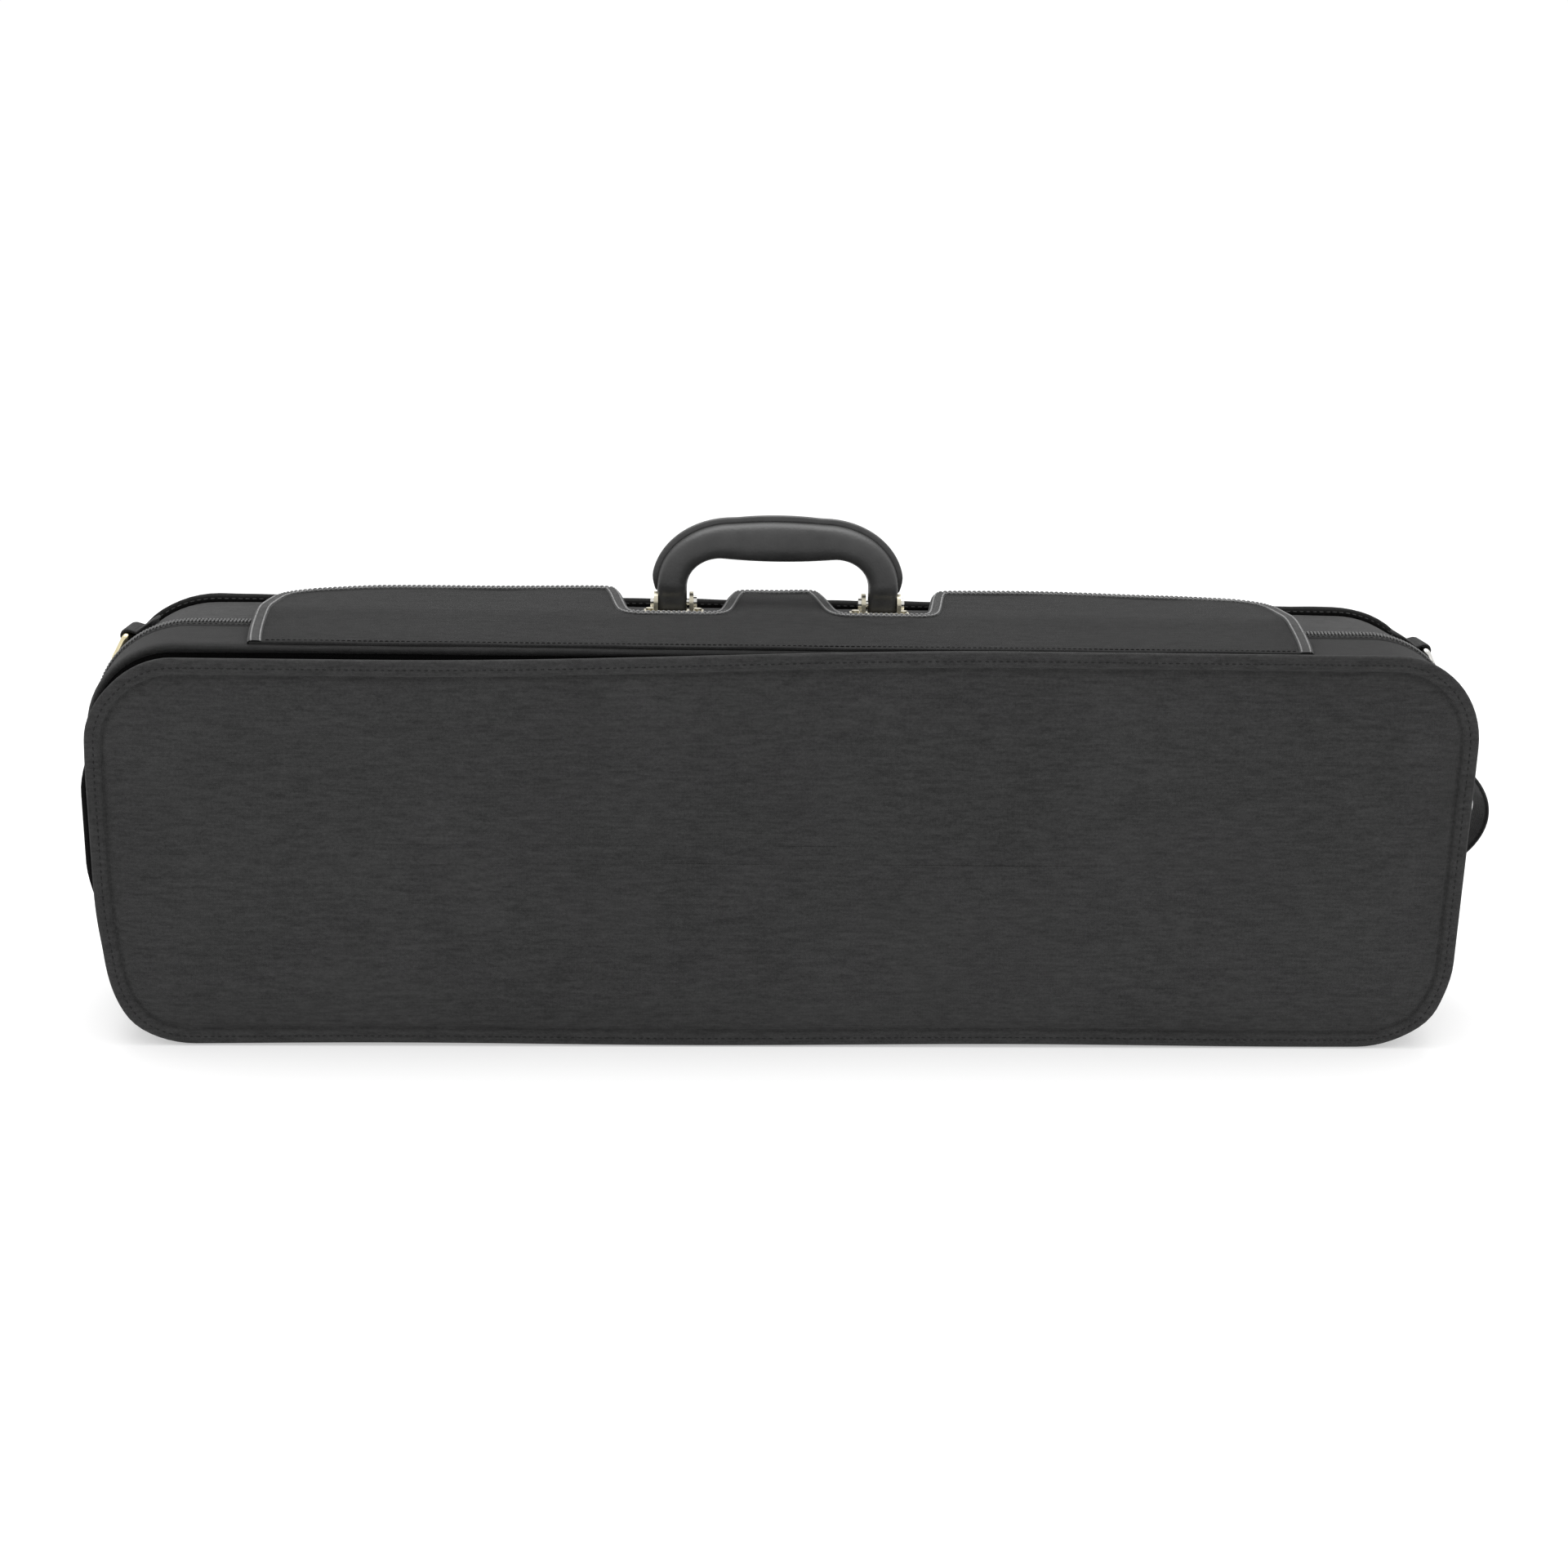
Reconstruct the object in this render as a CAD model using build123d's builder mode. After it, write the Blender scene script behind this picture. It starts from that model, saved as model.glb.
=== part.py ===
"""Oblong violin case: a zipped textile-covered shell that stands on its long spine.

Millimetres. X runs along the case, Y from the lid (-Y) to the back (+Y), Z up.
The origin is the middle of the face that the case stands on.
"""

import os
from math import cos, radians, sin

from build123d import *

os.makedirs("parts", exist_ok=True)

# Driving dimensions of the case body
half_length = 403.0
height = 236.5
back_y = 68.0
lid_front_y = -60.0
pocket_front_y = -68.0
parting_y = -4.0
parting_gap = 0.6
top_radius = 58.0
bottom_radius = 53.0
lid_end_taper = 8.5
lid_top_taper = 1.5
lid_taper_radius = 7.0

# Walls
cover_wall = 1.5
shell_wall = 7.0
back_wall = 8.0
seam_y = 61.0
seam_step = 3.0
binding_proud = 4.0

base_front_y = parting_y + parting_gap / 2
lid_back_y = parting_y - parting_gap / 2
shell_inner = cover_wall + shell_wall

# Inside fittings
fit_gap = 0.5
insert_front_y = -1.0
insert_floor_y = 50.0
insert_back_y = back_y - cover_wall - back_wall
bout_centre_z = height / 2
lower_bout_radius, lower_bout_x = 105.0, -272.0
upper_bout_radius, upper_bout_x = 86.0, -100.0
neck_channel = (bout_centre_z - 32.0, bout_centre_z + 32.0)
neck_insert_x = (1.0, 232.0)
tray_x = (233.0, 400.0)

# Handle; it sits a little to the left of the middle, above the balance point, and so does the flap
top_shift_x = -4.5
handle_y = 32.0
pin_z = height + 9.0
pin_radius = 2.0
running_clearance = 0.05
leg_centre_x = 62.5
leg_width = 18.0
grip_top_z = 294.5
grip_under_z = 271.5
grip_depth = 20.0
foot_radius = 6.0
rim_proud = 3.5
ear_gap = 0.4
ear_wall = 2.5
plate_top_z = height + 2.0

# Zip
tape_proud = 0.6
teeth_proud = 2.2
tape_width = 8.0
teeth_width = 2.6
zip_end_z = 56.0
slider_x = 30.0

# Flap over the zip
flap_half = 298.0
flap_wall = 2.0
flap_back_y = 60.0
flap_seam_y = -57.0

# Strap fittings
fitting_y = 30.0
webbing_width = 24.0
ring_wire = 2.0
ring_drop = 26.0
ring_half_width = 15.0
tab_tube = 4.0


def section(y, inset=0.0):
    """Case outline at depth y, moved inwards by inset. A negative inset never goes below the floor."""
    share = max(0.0, (parting_y - y) / (parting_y - lid_front_y))
    side = half_length - lid_end_taper * share - inset
    top = height - lid_top_taper * share - inset
    low = max(0.0, inset)
    with BuildSketch(Plane.XZ.offset(-y)) as outline:
        with Locations((0, (low + top) / 2)):
            Rectangle(2 * side, top - low)
        fillet(outline.vertices().group_by(Axis.Y)[-1], top_radius - lid_taper_radius * share - inset)
        fillet(outline.vertices().group_by(Axis.Y)[0], bottom_radius - inset)
    return outline.sketch


def prism(back, front, inset, mode=Mode.ADD):
    """Straight-walled block of the case outline between two depths."""
    extrude(section(max(back, parting_y), inset), amount=back - front, mode=mode)


def tapered(back, front, inset, mode=Mode.ADD):
    """Block of the lid, whose outline shrinks towards its front."""
    loft([section(back, inset), section(front, inset)], mode=mode)


def slab(xs, ys, zs, mode=Mode.ADD):
    """Box between two limits along each axis."""
    middle = tuple((low + high) / 2 for low, high in (xs, ys, zs))
    with Locations(middle):
        Box(xs[1] - xs[0], ys[1] - ys[0], zs[1] - zs[0], mode=mode)


def mirrored(limits):
    """The same limits on the other side of the middle."""
    return (-limits[1], -limits[0])


def save(builder, name, across=0.0):
    """Write a piece, moved along the case by a distance if one is given."""
    piece = builder.part.moved(Location((across, 0, 0)))
    piece.label = name
    export_step(piece, f"parts/{name}.step")


# Rivets that hold the handle's plates through the top wall
plate_half_x, plate_half_y = 18.0, 12.0
rivet_half_x, rivet_half_y = 14.5, 8.5
rivet_radius = 1.3
rivet_hole_length = 40.0
rivet_head_radius, rivet_head_height = 2.4, 1.2
rivet_points = [
    (side * leg_centre_x + dx, handle_y + dy)
    for side in (-1, 1)
    for dx in (-rivet_half_x, rivet_half_x)
    for dy in (-rivet_half_y, rivet_half_y)
]


def rivet_holes(across):
    """Clear the rivets' shanks out of the piece being made."""
    with Locations(*[(x + across, y, height) for x, y in rivet_points]):
        Cylinder(rivet_radius, rivet_hole_length, mode=Mode.SUBTRACT)


# Hinge tape between the covers and the shells, along the spine
tape_half = 330.0
tape_wall = 1.2
hinge_tape_y = (-20.0, 14.0)
hinge_tape_z = (cover_wall, cover_wall + tape_wall)


# ---------------------------------------------------------------- base
with BuildPart() as base_cover:
    prism(seam_y, base_front_y, 0)
    prism(back_y, seam_y, seam_step)
    prism(seam_y - cover_wall, base_front_y, cover_wall, Mode.SUBTRACT)
    prism(back_y - cover_wall, seam_y - cover_wall, seam_step + cover_wall, Mode.SUBTRACT)
    rivet_holes(top_shift_x)
save(base_cover, "base_cover")

with BuildPart() as base_shell:
    prism(seam_y - cover_wall, base_front_y, cover_wall)
    prism(back_y - cover_wall, seam_y - cover_wall, seam_step + cover_wall)
    prism(insert_back_y, base_front_y, shell_inner, Mode.SUBTRACT)
    slab((-tape_half, tape_half), (base_front_y, hinge_tape_y[1]), hinge_tape_z, Mode.SUBTRACT)
    rivet_holes(top_shift_x)
save(base_shell, "base_shell")

with BuildPart() as rear_binding:
    prism(back_y, seam_y, -binding_proud)
    prism(back_y, seam_y, seam_step, Mode.SUBTRACT)
save(rear_binding, "rear_binding")

with BuildPart() as spine_hinge_tape:
    slab((-tape_half, tape_half), hinge_tape_y, hinge_tape_z)
save(spine_hinge_tape, "spine_hinge_tape")


def insert_block(xs):
    """Plush-covered foam that fills the base between two places along the case."""
    prism(insert_back_y, insert_front_y, shell_inner + fit_gap)
    slab(xs, (insert_front_y, insert_back_y), (0, height), Mode.INTERSECT)


waist_half = 60.0
neck_mouth_x = -40.0
with BuildPart() as violin_cradle:
    insert_block((-half_length, 0))
    with BuildSketch(Plane.XZ.offset(-insert_floor_y)) as violin_shape:
        with Locations((lower_bout_x, bout_centre_z)):
            Circle(lower_bout_radius)
        with Locations((upper_bout_x, bout_centre_z)):
            Circle(upper_bout_radius)
        with Locations(((lower_bout_x + upper_bout_x) / 2, bout_centre_z)):
            Rectangle(upper_bout_x - lower_bout_x, 2 * waist_half)
    extrude(amount=insert_floor_y - insert_front_y, mode=Mode.SUBTRACT)
    slab((neck_mouth_x, 0), (insert_front_y, insert_floor_y), neck_channel, Mode.SUBTRACT)
save(violin_cradle, "violin_cradle")

# Long compartments run beside the neck; the upper one has a hinged lid on a 4 mm ledge
channel_end_x = 226.0
channel_floor_y = 46.0
compartment_x = (16.0, 222.0)
lidded_z = (176.0, 212.0)
open_z = (28.0, 76.0)
lid_recess_x = (14.0, 224.0)
lid_recess_z = (174.5, 214.0)
lid_recess_y = 3.0
with BuildPart() as neck_insert:
    insert_block(neck_insert_x)
    slab((neck_insert_x[0], channel_end_x), (insert_front_y, channel_floor_y), neck_channel, Mode.SUBTRACT)
    slab(compartment_x, (insert_front_y, insert_floor_y), lidded_z, Mode.SUBTRACT)
    slab(compartment_x, (insert_front_y, insert_floor_y), open_z, Mode.SUBTRACT)
    slab(lid_recess_x, (insert_front_y, lid_recess_y), lid_recess_z, Mode.SUBTRACT)
save(neck_insert, "neck_insert")

tray_wall = 8.0
with BuildPart() as end_tray:
    insert_block(tray_x)
    with BuildSketch(Plane.XZ.offset(-insert_floor_y)) as tray_hollow:
        add(section(insert_floor_y, shell_inner + fit_gap + tray_wall))
        with Locations((tray_x[0] + tray_wall + half_length, bout_centre_z)):
            Rectangle(2 * half_length, height, mode=Mode.INTERSECT)
    extrude(amount=insert_floor_y - insert_front_y, mode=Mode.SUBTRACT)
save(end_tray, "end_tray")

cradle_x = (40.0, 72.0)
cradle_front_y = 18.0
saddle_radius, saddle_y = 18.0, 12.0
with BuildPart() as neck_cradle:
    slab(cradle_x, (cradle_front_y, channel_floor_y), neck_channel)
    with Locations(Location((sum(cradle_x) / 2, saddle_y, bout_centre_z), (0, 90, 0))):
        Cylinder(saddle_radius, 2 * (cradle_x[1] - cradle_x[0]), mode=Mode.SUBTRACT)
save(neck_cradle, "neck_cradle")

strap_x = (46.0, 66.0)
strap_y = (insert_front_y + 1.0, insert_front_y + 2.6)
with BuildPart() as neck_strap:
    slab(strap_x, strap_y, neck_channel)
save(neck_strap, "neck_strap")

# ---------------------------------------------------------------- zip
beyond = 2 * half_length


def end_of_zip():
    """Take away what lies below the zip's ends."""
    slab((-beyond, beyond), (-beyond, beyond), (-beyond, zip_end_z), Mode.SUBTRACT)


with BuildPart() as zip_tape_base:
    prism(base_front_y + tape_width, base_front_y, -tape_proud)
    prism(base_front_y + tape_width, base_front_y, 0, Mode.SUBTRACT)
    end_of_zip()
save(zip_tape_base, "zip_tape_base")

with BuildPart() as zip_teeth_base:
    prism(base_front_y + teeth_width, base_front_y, -teeth_proud)
    prism(base_front_y + teeth_width, base_front_y, -tape_proud, Mode.SUBTRACT)
    end_of_zip()
save(zip_teeth_base, "zip_teeth_base")

with BuildPart() as zip_tape_lid:
    tapered(lid_back_y, lid_back_y - tape_width, -tape_proud)
    tapered(lid_back_y, lid_back_y - tape_width, 0, Mode.SUBTRACT)
    end_of_zip()
save(zip_tape_lid, "zip_tape_lid")

with BuildPart() as zip_teeth_lid:
    tapered(lid_back_y, lid_back_y - teeth_width, -teeth_proud)
    tapered(lid_back_y, lid_back_y - teeth_width, -tape_proud, Mode.SUBTRACT)
    end_of_zip()
save(zip_teeth_lid, "zip_teeth_lid")

# A slider is a bridge over the teeth with one cheek on the base side, so that the lid's teeth leave it
slider_length = 17.0
slider_half_y = 6.0
slider_gap, slider_wall = 0.3, 1.6
slider_low_z = height + teeth_proud + slider_gap
slider_z = (slider_low_z, slider_low_z + slider_wall)
cheek_low_z = height + tape_proud + slider_gap
cheek_y = (base_front_y + teeth_width + 0.4, parting_y + slider_half_y)
ear_length, ear_thickness = 3.6, 1.8
eye_radius, pull_pin_radius = 1.5, 0.8
pull_axis_offset = 2.4
pull_axis_z = slider_low_z + eye_radius
pull_z = (pull_axis_z - 0.8, pull_axis_z + 0.8)
pull_length = 26.0
pull_half_y, pull_corner = 3.6, 2.5
for side, side_name in ((-1, "left"), (1, "right")):
    inner_x, outer_x = slider_x, slider_x + slider_length
    axis_x = outer_x + pull_axis_offset
    body_x = (inner_x, outer_x) if side > 0 else mirrored((inner_x, outer_x))
    ear_x = (outer_x, outer_x + ear_length) if side > 0 else mirrored((outer_x, outer_x + ear_length))
    with BuildPart() as zip_slider:
        slab(body_x, (parting_y - slider_half_y, parting_y + slider_half_y), slider_z)
        slab(body_x, cheek_y, (cheek_low_z, slider_z[0]))
        for ear_y in (-1, 1):
            edge_y = parting_y + ear_y * slider_half_y
            ear_limits = sorted((edge_y, edge_y - ear_y * ear_thickness))
            slab(ear_x, ear_limits, (slider_low_z, slider_low_z + 2 * eye_radius))
        with Locations(Location((side * axis_x, parting_y, pull_axis_z), (90, 0, 0))):
            Cylinder(pull_pin_radius, 2 * slider_half_y)
    save(zip_slider, f"zip_slider_{side_name}")

    tab_x = (axis_x, axis_x + pull_length) if side > 0 else mirrored((axis_x, axis_x + pull_length))
    with BuildPart() as zip_pull:
        slab(tab_x, (parting_y - pull_half_y, parting_y + pull_half_y), pull_z)
        fillet(zip_pull.edges().filter_by(Axis.Z).group_by(Axis.X)[0 if side < 0 else -1], pull_corner)
        with Locations(Location((side * axis_x, parting_y, pull_axis_z), (90, 0, 0))):
            Cylinder(eye_radius, 2 * pull_half_y)
            Cylinder(pull_pin_radius + running_clearance, 2 * pull_half_y, mode=Mode.SUBTRACT)
    save(zip_pull, f"zip_pull_{side_name}")

# ---------------------------------------------------------------- lid
with BuildPart() as lid_cover:
    tapered(lid_back_y, lid_front_y, 0)
    tapered(lid_back_y, lid_front_y + cover_wall, cover_wall, Mode.SUBTRACT)
save(lid_cover, "lid_cover")

lid_lining_back_y = -46.5
lid_inner_y = lid_front_y + shell_inner
with BuildPart() as lid_shell:
    tapered(lid_back_y, lid_front_y + cover_wall, cover_wall)
    tapered(lid_back_y, lid_inner_y, shell_inner, Mode.SUBTRACT)
    slab((-tape_half, tape_half), (hinge_tape_y[0], lid_back_y), hinge_tape_z, Mode.SUBTRACT)
save(lid_shell, "lid_shell")

with BuildPart() as lid_lining:
    extrude(section(lid_inner_y, shell_inner + fit_gap), amount=lid_inner_y - lid_lining_back_y)
save(lid_lining, "lid_lining")

# Music pocket: a flat bag over the whole lid, open along its top
pocket_wall = 2.0
pocket_edge = 3.0
binding_width = 8.0
binding_wall = 0.8
panel_front_y = pocket_front_y + binding_wall
mouth_half = 330.0
mouth_z = (height - 40.0, height + 20.0)
bag_depth = lid_front_y - panel_front_y
with BuildPart() as music_pocket:
    extrude(section(lid_front_y), amount=bag_depth)
    extrude(section(lid_front_y, pocket_edge), amount=bag_depth - pocket_wall, mode=Mode.SUBTRACT)
    slab((-mouth_half, mouth_half), (panel_front_y + pocket_wall, lid_front_y), mouth_z, Mode.SUBTRACT)
save(music_pocket, "music_pocket")

with BuildPart() as pocket_binding:
    front_outline = section(lid_front_y).moved(Location((0, panel_front_y - lid_front_y, 0)))
    inner_outline = section(lid_front_y, binding_width).moved(Location((0, panel_front_y - lid_front_y, 0)))
    extrude(front_outline, amount=binding_wall)
    extrude(inner_outline, amount=binding_wall, mode=Mode.SUBTRACT)
save(pocket_binding, "pocket_binding")

# Bow holders: a block with a groove and a turning key near the frog, and a sleeve for each tip
bow_levels = (80.0, 160.0)
block_x = (280.0, 316.0)
block_half_z = 20.0
block_back_y = -30.0
stick_groove_radius = 8.0
key_post_x = 298.0
key_offset_z = 13.0
post_radius, post_hole_length = 2.0, 20.0
post_back_y, post_depth = -23.0, 10.0
post_head_radius, post_head_height = 3.6, 2.4
key_y = (-29.6, -26.0)
with BuildPart() as bow_holder_blocks:
    for level in bow_levels:
        slab(block_x, (lid_lining_back_y, block_back_y), (level - block_half_z, level + block_half_z))
        with Locations(Location((key_post_x, block_back_y, level), (0, 90, 0))):
            Cylinder(stick_groove_radius, 2 * (block_x[1] - block_x[0]), mode=Mode.SUBTRACT)
        with Locations(Location((key_post_x, block_back_y, level + key_offset_z), (90, 0, 0))):
            Cylinder(post_radius, post_hole_length, mode=Mode.SUBTRACT)
save(bow_holder_blocks, "bow_holder_blocks")

with BuildPart() as bow_key_posts:
    for level in bow_levels:
        post_z = level + key_offset_z
        post_length = post_back_y - block_back_y + post_depth
        with Locations(Location((key_post_x, post_back_y - post_length / 2, post_z), (90, 0, 0))):
            Cylinder(post_radius, post_length)
        with Locations(Location((key_post_x, post_back_y - post_head_height / 2, post_z), (90, 0, 0))):
            Cylinder(post_head_radius, post_head_height)
save(bow_key_posts, "bow_key_posts")

key_reach = 26.0
key_half_width = 5.5
for level, level_name in zip(bow_levels, ("lower", "upper")):
    post_z = level + key_offset_z
    with BuildPart() as bow_key:
        with BuildSketch(Plane.XZ.offset(-key_y[1])):
            with Locations((key_post_x, post_z)):
                Circle(key_half_width)
            with Locations((key_post_x, post_z - key_reach / 2)):
                Rectangle(2 * key_half_width, key_reach)
            with Locations((key_post_x, post_z - key_reach)):
                Circle(key_half_width)
            with Locations((key_post_x, post_z)):
                Circle(post_radius + running_clearance, mode=Mode.SUBTRACT)
        extrude(amount=key_y[1] - key_y[0])
    save(bow_key, f"bow_key_{level_name}")

sleeve_x = (-372.0, -322.0)
sleeve_half_z = 14.0
sleeve_back_y = -28.0
sleeve_wall = 2.0
with BuildPart() as bow_tip_sleeves:
    for level in bow_levels:
        outer_z = (level - sleeve_half_z, level + sleeve_half_z)
        inner_z = (outer_z[0] + sleeve_wall, outer_z[1] - sleeve_wall)
        slab(sleeve_x, (lid_lining_back_y, sleeve_back_y), outer_z)
        inner_y = (lid_lining_back_y + sleeve_wall, sleeve_back_y - sleeve_wall)
        slab((sleeve_x[0] + sleeve_wall, sleeve_x[1]), inner_y, inner_z, Mode.SUBTRACT)
save(bow_tip_sleeves, "bow_tip_sleeves")

# ---------------------------------------------------------------- lid of the long compartment
lid_axis_z = 213.6
board_z = (175.2, lid_axis_z)
board_x = (15.0, 223.0)
board_y = (insert_front_y, insert_front_y + 3.6)
with BuildPart() as compartment_lid:
    slab(board_x, board_y, board_z)
save(compartment_lid, "compartment_lid")

ribbon_x = (112.0, 126.0)
ribbon_y = (insert_front_y - 0.8, insert_front_y)
ribbon_z = (board_z[0] - 5.0, board_z[0] + 12.0)
with BuildPart() as compartment_lid_ribbon:
    slab(ribbon_x, ribbon_y, ribbon_z)
save(compartment_lid_ribbon, "compartment_lid_ribbon")

# ---------------------------------------------------------------- flap over the zip
notch_back, notch_front = (25.0, 93.0), (38.0, 86.0)
notch_front_y, notch_flare_y = 11.0, 42.0
notch_back_y, notch_open_y = flap_back_y - 2.0, flap_back_y + 5.0
flap_corner = 22.0
flap_tape, flap_tape_wall = 7.0, 0.8
plan_height = 300.0


def flap_plan():
    """Flap seen from above, with a notch for each leg of the handle."""
    with BuildSketch() as plan:
        with Locations((0, (flap_seam_y + flap_back_y) / 2)):
            Rectangle(2 * flap_half, flap_back_y - flap_seam_y)
        fillet(plan.vertices().group_by(Axis.Y)[-1], flap_corner)
        for side in (-1, 1):
            with BuildLine():
                corners = [
                    (side * notch_back[0], notch_open_y),
                    (side * notch_back[0], notch_back_y),
                    (side * notch_front[0], notch_flare_y),
                    (side * notch_front[0], notch_front_y),
                    (side * notch_front[1], notch_front_y),
                    (side * notch_front[1], notch_flare_y),
                    (side * notch_back[1], notch_back_y),
                    (side * notch_back[1], notch_open_y),
                ]
                Polyline(*corners, close=True)
            make_face(mode=Mode.SUBTRACT)
    return plan.sketch


def flap_profile(low, high):
    """The flap in section, from its seam over the zip to the rear, between two levels above its underside."""
    under = [
        (flap_seam_y, height - 1.1),
        (-40.0, height + 0.8),
        (-17.0, height + 6.0),
        (flap_back_y, height + 6.4),
    ]
    with BuildSketch(Plane.YZ.offset(-flap_half)) as profile:
        with BuildLine():
            line = [(y, z + low) for y, z in under] + [(y, z + high) for y, z in reversed(under)]
            Polyline(*line, close=True)
        make_face()
    return profile.sketch


with BuildPart() as zip_flap:
    extrude(flap_profile(0, flap_wall), amount=2 * flap_half)
    extrude(flap_plan(), amount=plan_height, mode=Mode.INTERSECT)
save(zip_flap, "zip_flap", top_shift_x)

with BuildPart() as flap_binding:
    extrude(flap_profile(flap_wall, flap_wall + flap_tape_wall), amount=2 * flap_half)
    with BuildSketch() as tape_plan:
        add(flap_plan())
        offset(flap_plan(), amount=-flap_tape, kind=Kind.INTERSECTION, mode=Mode.SUBTRACT)
        with Locations((0, flap_seam_y)):
            Rectangle(2 * flap_half - 2 * flap_tape, 2 * flap_tape + 1, mode=Mode.SUBTRACT)
    extrude(tape_plan.sketch, amount=plan_height, mode=Mode.INTERSECT)
save(flap_binding, "flap_binding", top_shift_x)

# ---------------------------------------------------------------- handle
leg_outer = leg_centre_x + leg_width / 2
leg_inner = leg_centre_x - leg_width / 2
ear_inner = leg_width / 2 + ear_gap
ear_outer = ear_inner + ear_wall


def arch(half, low, top, corner):
    """Upright arch in the handle's middle plane: a block with round upper corners."""
    with BuildSketch(Plane.XZ.offset(-handle_y)) as outline:
        with Locations((0, (low + top) / 2)):
            Rectangle(2 * half, top - low)
        fillet(outline.vertices().group_by(Axis.Y)[-1], corner)
    return outline.sketch


body_low_z = pin_z + 8.0
foot_top_z = body_low_z + 5.0
grip_corner, under_corner = 34.0, 12.0
grip_edge, rim_half_y, rim_gap = 5.0, 2.0, 1.0
with BuildPart() as handle_grip:
    extrude(arch(leg_outer, body_low_z, grip_top_z, grip_corner), amount=grip_depth / 2, both=True)
    inner_arch = arch(leg_inner, body_low_z, grip_under_z, under_corner)
    extrude(inner_arch, amount=grip_depth, both=True, mode=Mode.SUBTRACT)
    outer_edges = handle_grip.faces().filter_by(Axis.Y).edges()
    fillet(outer_edges.filter_by(lambda edge: edge.center().Z > body_low_z + 1), grip_edge)
    rim = arch(leg_outer + rim_proud, body_low_z, grip_top_z + rim_proud, grip_corner + rim_proud)
    extrude(rim, amount=rim_half_y, both=True)
    rim_inside = arch(leg_inner + rim_gap, body_low_z, grip_under_z + rim_gap, under_corner)
    extrude(rim_inside, amount=rim_half_y, both=True, mode=Mode.SUBTRACT)
    for side in (-1, 1):
        foot_x = sorted((side * leg_inner, side * leg_outer))
        foot_y = (handle_y - foot_radius, handle_y + foot_radius)
        slab(foot_x, foot_y, (pin_z, foot_top_z))
        with Locations(Location((side * leg_centre_x, handle_y, pin_z), (0, 90, 0))):
            Cylinder(foot_radius, leg_width)
            Cylinder(pin_radius + running_clearance, leg_width, mode=Mode.SUBTRACT)
save(handle_grip, "handle_grip", top_shift_x)

with BuildPart() as handle_brackets:
    for side in (-1, 1):
        centre_x = side * leg_centre_x
        plate_x = (centre_x - plate_half_x, centre_x + plate_half_x)
        slab(plate_x, (handle_y - plate_half_y, handle_y + plate_half_y), (height, plate_top_z))
        for ear_side in (-1, 1):
            ear_x = centre_x + ear_side * (ear_inner + ear_outer) / 2
            with BuildSketch(Plane.YZ.offset(ear_x)):
                with Locations((handle_y, (plate_top_z + pin_z) / 2)):
                    Rectangle(2 * foot_radius, pin_z - plate_top_z)
                with Locations((handle_y, pin_z)):
                    Circle(foot_radius)
                    Circle(pin_radius, mode=Mode.SUBTRACT)
            extrude(amount=ear_wall / 2, both=True)
    rivet_holes(0)
save(handle_brackets, "handle_brackets", top_shift_x)

pin_head, pin_head_radius = 2.0, 3.6
with BuildPart() as handle_pins:
    for side in (-1, 1):
        with Locations(Location((side * leg_centre_x, handle_y, pin_z), (0, 90, 0))):
            Cylinder(pin_radius, 2 * ear_outer)
        for end in (-1, 1):
            head_x = side * leg_centre_x + end * (ear_outer + pin_head / 2)
            with Locations(Location((head_x, handle_y, pin_z), (0, 90, 0))):
                Cylinder(pin_head_radius, pin_head)
save(handle_pins, "handle_pins", top_shift_x)

rivet_low_z = height - shell_inner
with BuildPart() as handle_rivets:
    for x, y in rivet_points:
        with Locations((x, y, (rivet_low_z + plate_top_z) / 2)):
            Cylinder(rivet_radius, plate_top_z - rivet_low_z)
        with Locations((x, y, plate_top_z + rivet_head_height / 2)):
            Cylinder(rivet_head_radius, rivet_head_height)
save(handle_rivets, "handle_rivets", top_shift_x)

# ---------------------------------------------------------------- strap fittings
corner_centre = (half_length - top_radius, height - top_radius)
corner_angle = 45.0
bar_height = 5.2
corner_bar_radius = top_radius + bar_height
corner_bar = (
    corner_centre[0] + corner_bar_radius * cos(radians(corner_angle)),
    corner_centre[1] + corner_bar_radius * sin(radians(corner_angle)),
)
corner_ring_tilt = 28.0
side_bar = (-half_length - bar_height, 84.0)
tab_gap = 0.3
tab_wall = 3.0
tab_sweep = 26.0
ring_shoulder, ring_tip_share, ring_corner = 12.0, 0.45, 2.6


def ring(bar, tilt, name):
    """D-ring that hangs from its straight bar; tilt is the angle of its drop from straight down."""
    drop = Vector(sin(radians(tilt)), 0, -cos(radians(tilt)))
    start = Vector(bar[0], fitting_y, bar[1])
    across = Vector(0, ring_half_width, 0)
    shoulder = start + drop * (ring_drop - ring_shoulder)
    tip, tip_across = start + drop * ring_drop, across * ring_tip_share
    corners = [start + across, shoulder + across, tip + tip_across]
    corners += [tip - tip_across, shoulder - across, start - across]
    with BuildPart() as metal_ring:
        with BuildLine() as path:
            FilletPolyline(*[tuple(corner) for corner in corners], radius=ring_corner, close=True)
        with BuildSketch(Plane(origin=path.line @ 0, z_dir=path.line % 0)):
            Circle(ring_wire)
        sweep()
    save(metal_ring, name)


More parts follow.
